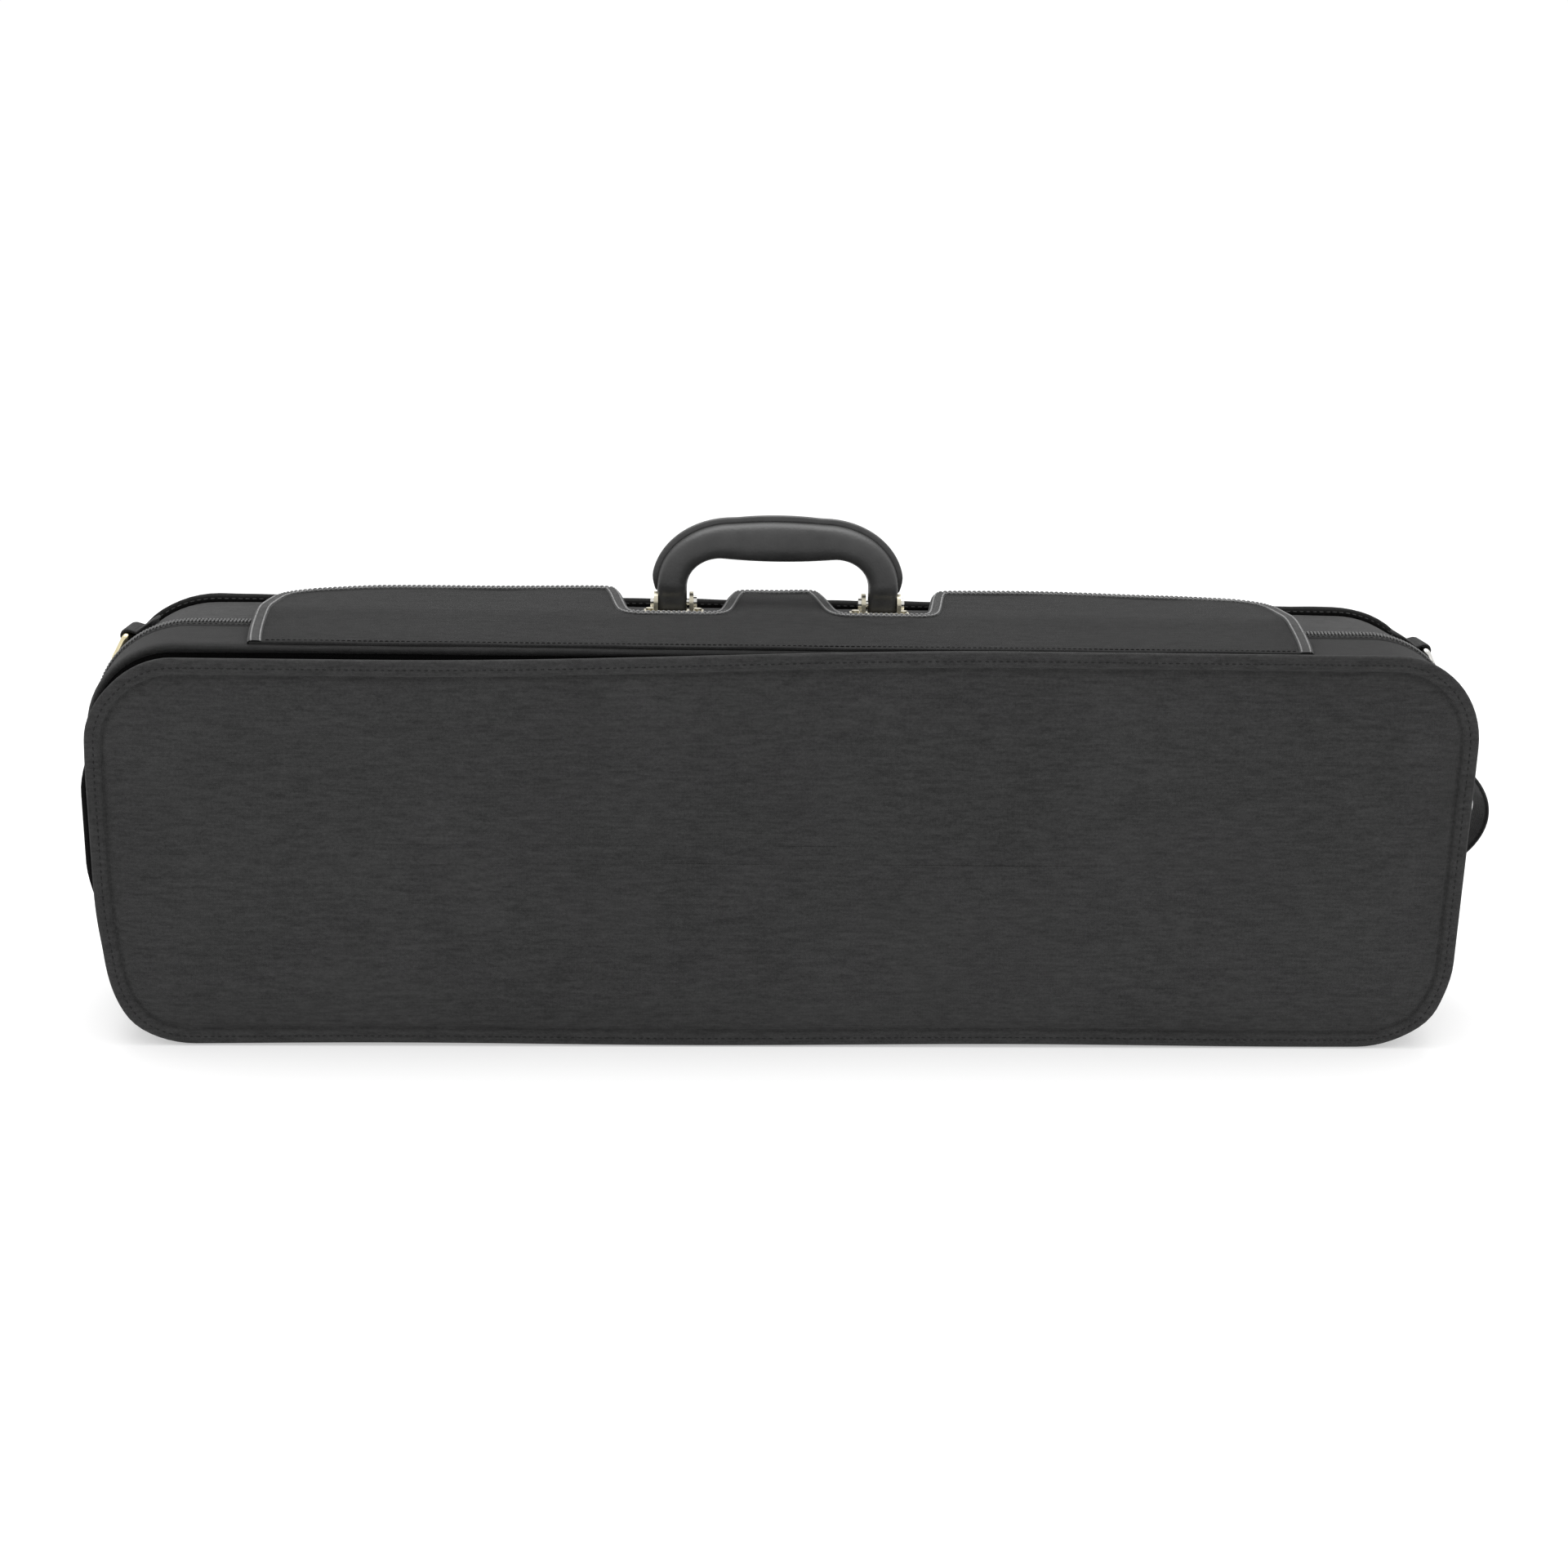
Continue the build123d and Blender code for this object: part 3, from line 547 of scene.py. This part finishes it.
def make_pocket_panel():
    edge = ((2.2, 2.0), (0.0, 2.0), (0.0, 7.0), (0.5, 8.2), (1.0, 9.0), (0.5, 9.9), (-0.3, 11.5))
    face = ((-0.7, 14), (-1.1, 20), (-1.4, 28), *((-1.6, inset) for inset in (38, 50, 64, 80, 96, 112)))
    rings = [pocket_ring(PANEL_BACK, inset) for inset in FACE_INSETS]
    rings += pocket_rings(edge + face)
    panel = loft("pocket_panel", rings, panel_cloth, caps=(True, True))
    finish_piece(panel, "lid", "cover_cloth", "music_pocket")


def make_pocket_gusset():
    """Folded cloth between the lid and the panel, left out along the mouth and bulging on the left."""
    edge = section(LID_FRONT)
    x, z = edge[:, 0], edge[:, 2]
    mouth = (x < MOUTH_END) & (z > np.where(x > MOUTH_START, PANEL_TOP - 1 * MM, CORNER_LINE))
    folds = ((2.2, 1.6), (3.4, 5.0), (5.0, 2.2), (6.4, 5.0), (7.4, 1.8))
    scale = (LID_FRONT - PANEL_BACK) / folds[-1][0]
    at_left = smooth_step(-x, HALF - 40 * MM, HALF - 20 * MM)
    upper = smooth_step(z, 70 * MM, 110 * MM) - smooth_step(z, 150 * MM, CORNER_LINE - 3 * MM)
    rings = [pocket_ring(LID_FRONT + 0.4 * MM, 2.6 * MM)]
    for out, inset in folds:
        ring = pocket_ring(LID_FRONT - scale * out, inset * MM)
        ring[:, 0] -= GUSSET_BULGE * at_left * upper
        rings.append(ring)
    gusset = loft("pocket_gusset", rings, edge_cloth, skip=mouth)
    finish_piece(gusset, "lid", "cover_cloth")


def make_pocket_binding():
    profile = (
        (2.6, 7.6), (3.2, 6.0), (3.3, 2.0), (2.6, -0.2), (1.2, -1.0), (-0.4, -0.9),
        (-1.3, 0.2), (-1.5, 2.0), (-1.4, 6.4), (-0.9, 7.6), (0.4, 8.3),
    )
    binding = loft("pocket_binding_tape", pocket_rings(profile), panel_cloth)
    finish_piece(binding, "lid", "binding_tape", "pocket_binding")
    line = pocket_ring(POCKET_FRONT - 1.45 * MM, 4.4 * MM)
    row = stitch_row("pocket_stitches", line, FORWARD, 4.0 * MM, 2.6 * MM, 0.36 * MM, dark_thread)
    finish_piece(row, "lid", "binding_tape")


# ------------------------------------------------------------------ zip
ZIP_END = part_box("zip_teeth_base")[0].z
ZIP_TAPE = ((9.0, 0.2), (8.4, -0.5), (4.0, -0.7), (0.3, -0.6), (0.0, 0.2))


def zip_line(y, inset):
    """The stretch of the outline that the zip covers, with its outward normals."""
    line = section(y, inset)
    line = line[line[:, 2] > ZIP_END]
    ahead = np.gradient(line, axis=0)
    return line, unit(np.stack([ahead[:, 2], np.zeros(len(line)), -ahead[:, 0]], 1))


def make_zip():
    """On each half a tape with teeth and stitches. The lid's teeth lie between the base's."""
    for body, edge, sign in (("base", BASE_FRONT, 1), ("lid", LID_BACK, -1)):
        rings = [section(edge + sign * out * MM, inset * MM) for out, inset in ZIP_TAPE]
        line, normals = zip_line(edge + sign * 1.5 * MM, -1.2 * MM)
        if body == "lid":
            rings.reverse()
            line, normals = line[1:], normals[1:]
        below = section(edge)[:, 2] < ZIP_END
        tape = loft(f"zip_tape_{body}_cloth", rings, zip_cloth, skip=below)
        finish_piece(tape, body, "zip_plastic", f"zip_tape_{body}")
        name = f"zip_teeth_{body}_row"
        teeth = stitch_row(name, line, normals, 2.1 * MM, 3.4 * MM, 0.85 * MM, zip_nylon, tilt=pi / 2)
        finish_piece(teeth, body, "zip_plastic", f"zip_teeth_{body}")
        name = f"zip_stitches_{body}"
        line, normals = zip_line(edge + sign * 6.2 * MM, -0.7 * MM)
        row = stitch_row(name, line, normals, 3.2 * MM, 2.3 * MM, 0.28 * MM, dark_thread)
        finish_piece(row, body, "zip_plastic")


# ------------------------------------------------------------------ flap over the zip
flap_low, flap_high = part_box("zip_flap")
FLAP_MIDDLE = (flap_low.x + flap_high.x) / 2
FLAP_HALF, FLAP_SEAM, FLAP_BACK = flap_high.x - FLAP_MIDDLE, flap_low.y, flap_high.y
FLAP_FOOT = flap_low.z - 0.9 * MM
FLAP_RISE = flap_high.z - FLAP_FOOT
FLAP_THICK, FLAP_CORNER = 2.0 * MM, 24 * MM
NOTCH_DEPTH = FLAP_BACK - 1 * MM

# How far beyond its CAD outline the cloth bulges at both ends, and how much longer it is at the right
END_BULGE, END_LONGER = 5 * MM, 4 * MM


def notch_share(away, spread=0.0):
    """One along a notch's lip, none outside it, with round shoulders that may be spread wider."""
    rising = smooth_step(smooth_step(away, 21 * MM - spread, 42 * MM), 0, 1)
    return rising - smooth_step(smooth_step(away, 82 * MM, 103 * MM + spread), 0, 1)


def flap_back_at(x):
    """How far back the flap reaches: cut in round each leg of the handle and rounded at its ends."""
    away = np.abs(np.asarray(x, float))
    past = np.clip(away - (FLAP_HALF - FLAP_CORNER), 0, FLAP_CORNER)
    rounded = FLAP_CORNER - np.sqrt(FLAP_CORNER**2 - past**2)
    return FLAP_BACK - NOTCH_DEPTH * notch_share(away) - rounded


def flap_level(x, y):
    """Underside of the flap: up from its seam on the lid, over the zip, and on to its free rear edge."""
    share = np.clip((y - FLAP_SEAM) / (FLAP_BACK - FLAP_SEAM), 0, 1)
    away = np.abs(x)
    level = FLAP_FOOT + FLAP_RISE * (1 - (1 - share) ** 2.2)
    over_zip = 1.2 * MM * hump(y, PARTING, 15 * MM)
    slack = 1.2 * MM * np.cos((away - 115 * MM) * 14) + 0.3 * MM * np.sin(x * 47)
    ends = 1.6 * MM * smooth_step(away, FLAP_HALF - 60 * MM, FLAP_HALF)
    droop = 2.0 * MM * notch_share(away, 9 * MM) * smooth_step(y, -14 * MM, 12 * MM)
    return level - droop + over_zip + (slack - ends) * smooth_step(share, 0.4, 1)


def on_flap(plan, lift=0.0):
    """Points of the flap's plan, brought to its level and to its place along the case."""
    x, y = plan[:, 0], plan[:, 1]
    reach = np.clip((y - FLAP_SEAM) / (FLAP_BACK - FLAP_SEAM), 0, 1)
    bulge = END_BULGE * np.sin(reach * pi) ** 0.8
    left, right = (smooth_step(side * x, 150 * MM, FLAP_HALF) for side in (-1, 1))
    along = x + FLAP_MIDDLE + right * (bulge + END_LONGER) - left * bulge
    return np.stack([along, y, flap_level(x, y) + lift], 1)


def flap_columns(middle_step):
    """Places along the flap, close together at its notches and its round ends."""
    steps = (np.arange(20, 104, 1.5), np.arange(104, 258, 6), np.arange(258, 298.1, 2))
    right = np.concatenate(steps) * MM
    right[-1] = FLAP_HALF
    return np.concatenate([-right[::-1], np.arange(-18, 20, middle_step) * MM, right])


def make_flap_cloth():
    xs = flap_columns(3)
    backs = flap_back_at(xs)
    rings = []
    for share in np.concatenate([[0, 0.02, 0.05], np.linspace(0.09, 1, 22)]):
        ys = FLAP_SEAM + (backs - FLAP_SEAM) * share
        rings.append(on_flap(np.stack([xs, ys], 1), FLAP_THICK))
    flap = loft("zip_flap_cloth", rings, flap_cloth, closed=False)
    ruffle(flap, 0.5 * MM, 0.05, 21.0)
    modify(flap, "SOLIDIFY", thickness=FLAP_THICK, offset=-1)
    finish_piece(flap, "flap", "cover_cloth", "zip_flap")


def flap_edge():
    """The flap's free edge in plan, up its left end, along its rear and down its right end."""
    end_y = float(flap_back_at(FLAP_HALF))
    up = np.linspace(FLAP_SEAM, end_y, 30, endpoint=False)
    down = np.linspace(end_y, FLAP_SEAM, 31)[1:]
    rear_x = flap_columns(2)
    rear = np.stack([rear_x, flap_back_at(rear_x)], 1)
    left, right = (
        np.stack([np.full(30, side * FLAP_HALF), ys], 1) for side, ys in ((-1, up), (1, down))
    )
    return even_line(np.concatenate([left, rear, right]), 2.2 * MM)


def make_flap_edging():
    """Binding round the flap's free edge with its two rows of stitches, and the seam on the lid."""
    edge = flap_edge()
    ahead = np.gradient(edge, axis=0)
    inward = unit(np.stack([ahead[:, 1], -ahead[:, 0]], 1))
    profile = (
        (7.4, 0.1), (6.6, 0.7), (3.8, 0.9), (1.0, 0.9), (-0.5, 0.3), (-0.9, -0.9),
        (-0.6, -2.2), (0.8, -2.8), (6.4, -2.7), (7.2, -2.0),
    )
    rings = [on_flap(edge + inward * inset * MM, FLAP_THICK + lift * MM) for inset, lift in profile]
    binding = loft("flap_binding_tape", rings, flap_tape_cloth, closed=False)
    modify(binding, "SUBSURF", levels=1, render_levels=1)
    finish_piece(binding, "flap", "binding_tape", "flap_binding")

    reach = FLAP_HALF - 9 * MM
    seam = np.stack([np.linspace(-reach, reach, 200), np.full(200, FLAP_SEAM + 3 * MM)], 1)
    line = on_flap(seam, FLAP_THICK + 0.1 * MM)
    row = stitch_row("flap_seam_stitches", line, UPWARD, 3.0 * MM, 2.4 * MM, 0.4 * MM, dark_thread)
    finish_piece(row, "flap", "cover_cloth")
    for name, inset in (("flap_stitches_outer", 1.3), ("flap_stitches_inner", 6.4)):
        line = on_flap(edge + inward * inset * MM, FLAP_THICK + 0.95 * MM)
        row = stitch_row(name, line, UPWARD, 3.0 * MM, 2.8 * MM, 0.55 * MM, grey_thread)
        finish_piece(row, "flap", "binding_tape")


# ------------------------------------------------------------------ handle
grip_low, grip_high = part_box("handle_grip")
pin_low, pin_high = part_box("handle_pins")
PIN = (pin_low + pin_high) / 2
RIM_PROUD, LEG_WIDTH = 3.5 * MM, 18 * MM
LEG_OUT = (grip_high.x - grip_low.x) / 2 - RIM_PROUD + 1 * MM
LEG_IN = LEG_OUT - LEG_WIDTH
LEG_LEVELS = [PIN.z + off * MM for off in (-5.9, -5.4, -3.8, 0, 4, 6.5)]
GRIP_TOP, GRIP_UNDER = grip_high.z - RIM_PROUD, grip_high.z - 26.5 * MM
OUTER_CORNER, INNER_CORNER = (46 * MM, 37 * MM), (20 * MM, 17 * MM)
EYE_RADIUS, LEG_SWELL, GRIP_SWELL = 6 * MM, 4.3 * MM, 1.2 * MM

# The rim starts at this station of both legs and grows to its full half sizes
RIM_FIRST = 5
RIM_OFF, RIM_WIDE, RIM_DEEP = 1.1 * MM, 2.4 * MM, 2.3 * MM


def handle_side(half, top, corner, swell):
    """Points up a leg, round its corner and along to the middle, on one side of the grip."""
    wide, tall = corner
    legs = [(half, z) for z in LEG_LEVELS]
    angles = np.radians(np.linspace(0, 90, 15))
    turn = [(half - wide + wide * cos(a), top - tall + tall * sin(a)) for a in angles]
    run = np.linspace(half - wide, 0, 9)[1:]
    return legs + turn + [(x, top + swell * (1 - (x / (half - wide)) ** 2)) for x in run]


def handle_stations():
    """Pairs of points on the grip's outside and inside, from the foot of the right leg to the left one."""
    outer = handle_side(LEG_OUT, GRIP_TOP - 1 * MM, OUTER_CORNER, 1.2 * MM)
    inner = handle_side(LEG_IN, GRIP_UNDER + 0.6 * MM, INNER_CORNER, -1.6 * MM)
    pairs = list(zip(outer, inner))
    mirrored = [((-a[0], a[1]), (-b[0], b[1])) for a, b in reversed(pairs[:-1])]
    return np.array(pairs + mirrored)


def half_depth(z):
    """Half the grip's thickness front to back: round about the pin, then swelling into the leg."""
    below = PIN.z - z
    if below > 0:
        return sqrt(max(EYE_RADIUS**2 - below**2, (0.6 * MM) ** 2))
    swell = float(smooth_step(z, PIN.z + 2.5 * MM, PIN.z + 9 * MM))
    grip = float(smooth_step(z, GRIP_UNDER - 5 * MM, GRIP_TOP))
    return EYE_RADIUS + LEG_SWELL * swell + GRIP_SWELL * grip


def superellipse(count, power):
    angles = np.linspace(0, tau, count, endpoint=False)
    c, s = np.cos(angles), np.sin(angles)
    return np.sign(c) * np.abs(c) ** (2 / power), np.sign(s) * np.abs(s) ** (2 / power)


def handle_ring(flat, deep):
    """Ring of the handle from its points in the XZ plane and their depths."""
    return np.stack([PIN.x + flat[:, 0], PIN.y + deep, flat[:, 1]], 1)


def make_handle():
    stations = handle_stations()
    across, deep = superellipse(32, 2.7)
    rings = []
    for outer, inner in stations:
        middle, reach = (outer + inner) / 2, (outer - inner) / 2
        rings.append(handle_ring(middle + np.outer(across, reach), deep * half_depth(middle[1])))
    grip = loft("handle_grip_skin", rings, grip_skin, caps=(True, True))
    modify(grip, "SUBSURF", levels=1, render_levels=2)
    finish_piece(grip, "handle", "handle_skin", "handle_grip")

    across, deep = superellipse(16, 3.0)
    ringed = stations[RIM_FIRST:-RIM_FIRST]
    rings = []
    for k, (outer, inner) in enumerate(ringed):
        out = (outer - inner) / np.linalg.norm(outer - inner)
        grown = min(1.0, 0.25 + 0.4 * min(k, len(ringed) - 1 - k))
        flat = outer + out * RIM_OFF * grown + np.outer(across * RIM_WIDE * grown, out)
        rings.append(handle_ring(flat, deep * RIM_DEEP * grown))
    rim = loft("handle_rim", rings, grip_skin, caps=(True, True))
    modify(rim, "SUBSURF", levels=1, render_levels=1)
    finish_piece(rim, "handle", "handle_skin")


# ------------------------------------------------------------------ webbing
tab_low, tab_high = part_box("side_tab")
FITTING_Y = (tab_low.y + tab_high.y) / 2
WEB_WIDTH = tab_high.y - tab_low.y
TAB_THICK, LOOP_THICK, WRAP = 1.7 * MM, 2.4 * MM, 3.3 * MM
RIBS, RIB_HEIGHT, RIDGE_HEIGHT = 9, 0.16 * MM, 0.05 * MM

# Middle of the upper corners' arc on the right, and of the ring's bar beyond it
CORNER = (HALF - R_TOP, HEIGHT - R_TOP)
BAR_OUT = 5.2 * MM
BAR = tuple(middle + (R_TOP + BAR_OUT) * cos(pi / 4) for middle in CORNER)
SIDE_BAR = (-HALF - BAR_OUT, 84 * MM)
LOOP_HALF = 38 * MM


def webbing(name, path, thick, *nodes):
    """Ribbed strap swept along a path in the XZ plane."""
    path = even_line(np.array(path), 0.9 * MM)
    ahead = np.gradient(path, axis=0)
    outward = unit(np.stack([-ahead[:, 1], ahead[:, 0]], 1))
    across = np.linspace(-WEB_WIDTH / 2, WEB_WIDTH / 2, 45)
    ribs = RIB_HEIGHT * np.abs(np.sin(across / WEB_WIDTH * pi * RIBS))
    edge = np.sqrt(np.clip(1 - (np.abs(across) / (WEB_WIDTH / 2)) ** 14, 0, 1))
    depth = np.concatenate([across, across[::-1]]) + FITTING_Y
    rings = []
    for k, (place, out) in enumerate(zip(path, outward)):
        half = np.outer((thick / 2 + ribs + RIDGE_HEIGHT * (k % 2)) * edge, out)
        flat = np.concatenate([place + half, (place - half)[::-1]])
        rings.append(np.stack([flat[:, 0], depth, flat[:, 1]], 1))
    strap = loft(name, rings, strap_cloth, caps=(True, True))
    finish_piece(strap, "base", "webbing", *nodes)


def arc_points(centre, radius, start, end, count):
    angles = np.radians(np.linspace(start, end, count))
    return [(centre[0] + radius * cos(a), centre[1] + radius * sin(a)) for a in angles]


def make_corner_tabs():
    """Each goes over the corner's arc, round the ring's bar and back under itself."""
    over = arc_points(CORNER, R_TOP + 2.6 * MM, 60, 50, 12)
    wrap = arc_points(BAR, WRAP, 100, -150, 26)
    under = arc_points(CORNER, R_TOP + 1.0 * MM, 46, 58, 8)
    for side, name in ((1, "right"), (-1, "left")):
        path = [(side * x, z) for x, z in over + wrap + under]
        webbing(f"corner_tab_{name}_strap", path, TAB_THICK, f"corner_tab_{name}")


def make_side_tab():
    down = [(-HALF - 3.0 * MM, z * MM) for z in np.linspace(112, 88, 12)]
    wrap = arc_points(SIDE_BAR, WRAP, 150, 390, 26)
    up = [(-HALF - 1.1 * MM, z * MM) for z in np.linspace(90, 108, 8)]
    webbing("side_tab_strap", down + wrap + up, TAB_THICK, "side_tab")


def make_grab_loop():
    loop_low, loop_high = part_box("end_grab_loop")
    middle = (loop_low.z + loop_high.z) / 2
    upper, lower = middle + LOOP_HALF, middle - LOOP_HALF
    stand = loop_high.x - HALF + 1.0 * MM
    path = [(HALF + 1.6 * MM, upper + off * MM) for off in (14, 9, 5)]
    for t in np.linspace(0, pi, 40):
        path.append((HALF + 2.0 * MM + stand * sin(t) ** 1.5, middle + LOOP_HALF * cos(t)))
    path += [(HALF + 1.6 * MM, lower - off * MM) for off in (5, 9, 14)]
    webbing("end_grab_strap", path, LOOP_THICK, "end_grab_loop")


# ------------------------------------------------------------------ inside
# Node, body, voxel size and rounds of smoothing of each piece that is foam under plush
SOFT_PIECES = (
    ("violin_cradle", "base", 3.0 * MM, 6),
    ("neck_insert", "base", 2.6 * MM, 5),
    ("end_tray", "base", 2.8 * MM, 5),
    ("neck_cradle", "base", 1.4 * MM, 6),
    ("lid_lining", "lid", 2.4 * MM, 4),
    ("bow_holder_blocks", "lid", 1.0 * MM, 5),
    ("bow_tip_sleeves", "lid", 0.9 * MM, 3),
    ("compartment_lid", "compartment_door", 1.2 * MM, 4),
)


def make_soft(node, body, voxel, rounds):
    """Plush-covered copy of a foam piece: rounded edges and a softly uneven surface."""
    piece = bpy.data.objects.new(f"{node}_plush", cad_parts[node].data.copy())
    bpy.context.scene.collection.objects.link(piece)
    piece.data.materials.clear()
    modify(piece, "REMESH", mode="VOXEL", voxel_size=voxel, use_smooth_shade=True)
    modify(piece, "SMOOTH", factor=0.5, iterations=rounds)
    bpy.context.view_layer.update()
    finished = piece.evaluated_get(bpy.context.evaluated_depsgraph_get())
    made = bpy.data.meshes.new_from_object(finished)
    piece.modifiers.clear()
    piece.data = made
    made.shade_smooth()
    ruffle(piece, 0.5 * MM, 0.03, len(piece.name))
    made.materials.clear()
    made.materials.append(lining if node == "lid_lining" else plush)
    finish_piece(piece, body, "plush", node)


# ------------------------------------------------------------------ finishes of the CAD pieces
# Material and bevel of every CAD piece that shows
DRESSED = (
    (lining, 0, ("base_shell", "lid_shell")),
    (strap_cloth, 0, ("neck_strap", "compartment_lid_ribbon")),
    (nickel, 0.25 * MM, ("zip_slider_left", "zip_slider_right", "zip_pull_left", "zip_pull_right")),
    (nickel, 0.25 * MM, ("handle_pins",)),
    (nickel, 0, ("corner_ring_right", "side_ring", "bow_key_posts")),
    (brass, 0, ("corner_ring_left",)),
    (pale_brass, 0.3 * MM, ("handle_brackets", "handle_rivets")),
    (key_plastic, 0.6 * MM, ("bow_key_lower", "bow_key_upper")),
)


def dress(node, material, bevel):
    """Give a CAD node its finished material, and soften its edges."""
    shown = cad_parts[node]
    shown.data.materials.clear()
    shown.data.materials.append(material)
    if bevel:
        modify(shown, "BEVEL", width=bevel, segments=2, limit_method="ANGLE", angle_limit=radians(40))


# ------------------------------------------------------------------ stage
CAMERA_PLACE = Vector((-0.0565, -1.2002, 0.4777))
YAW, PITCH, ROLL = radians(2.707), radians(15.663), radians(1.209)
LENS, SENSOR = 47.58, 36.0
FLOOR_HALF, FLOOR_LEVEL = 60.0, -0.9 * MM
FLOOR_GREY, FLOOR_GLOW = (0.62, 0.62, 0.62), 0.42
WHITE, SKY_STRENGTH = (1, 1, 1, 1), 1.02
LAMP_PLACE, LAMP_AIM, LAMP_SIZE, LAMP_POWER = Vector((0, 0.3, 1.7)), Vector((0, 0, 0.2)), (2.2, 1.2), 26


def make_camera():
    ahead = Vector((sin(YAW) * cos(PITCH), cos(YAW) * cos(PITCH), -sin(PITCH)))
    right = Vector((cos(YAW), -sin(YAW), 0))
    up = right.cross(ahead)
    right, up = cos(ROLL) * right + sin(ROLL) * up, -sin(ROLL) * right + cos(ROLL) * up
    turn = Matrix((right, up, -ahead)).transposed().to_4x4()
    lens = bpy.data.cameras.new("camera")
    lens.lens, lens.sensor_width = LENS, SENSOR
    camera = bpy.data.objects.new("camera", lens)
    camera.matrix_world = Matrix.Translation(CAMERA_PLACE) @ turn
    bpy.context.scene.collection.objects.link(camera)
    bpy.context.scene.camera = camera


def make_floor():
    signs = ((-1, -1), (1, -1), (1, 1), (-1, 1))
    corners = [(a * FLOOR_HALF, b * FLOOR_HALF, FLOOR_LEVEL) for a, b in signs]
    paint = Shading("floor_paint", FLOOR_GREY, 0.8, Specular_IOR_Level=0.0, Emission_Strength=FLOOR_GLOW)
    paint.shader.inputs["Emission Color"].default_value = WHITE
    floor = new_piece("floor", corners, [(0, 1, 2, 3)], paint.material, smooth=False)


def make_light():
    world = bpy.data.worlds.new("studio")
    world.use_nodes = True
    sky = world.node_tree.nodes["Background"]
    sky.inputs["Color"].default_value = WHITE
    sky.inputs["Strength"].default_value = SKY_STRENGTH
    bpy.context.scene.world = world
    lamp = bpy.data.lights.new("overhead", "AREA")
    lamp.shape, lamp.energy = "RECTANGLE", LAMP_POWER
    lamp.size, lamp.size_y = LAMP_SIZE
    holder = bpy.data.objects.new("overhead", lamp)
    holder.location = LAMP_PLACE
    holder.rotation_euler = (LAMP_AIM - LAMP_PLACE).to_track_quat("-Z", "Y").to_euler()
    bpy.context.scene.collection.objects.link(holder)
    view = bpy.context.scene.view_settings
    view.view_transform, view.look, view.exposure, view.gamma = "Standard", "None", 0.0, 1.0


make_base_cover()
make_lid_cover()
make_pocket_inside()
make_rear_binding()
make_spine_cloth()
make_pocket_panel()
make_pocket_gusset()
make_pocket_binding()
make_zip()
make_flap_cloth()
make_flap_edging()
make_handle()
make_corner_tabs()
make_side_tab()
make_grab_loop()
for soft_piece in SOFT_PIECES:
    make_soft(*soft_piece)
for material, bevel, nodes in DRESSED:
    for node in nodes:
        dress(node, material, bevel)
make_camera()
make_floor()
make_light()
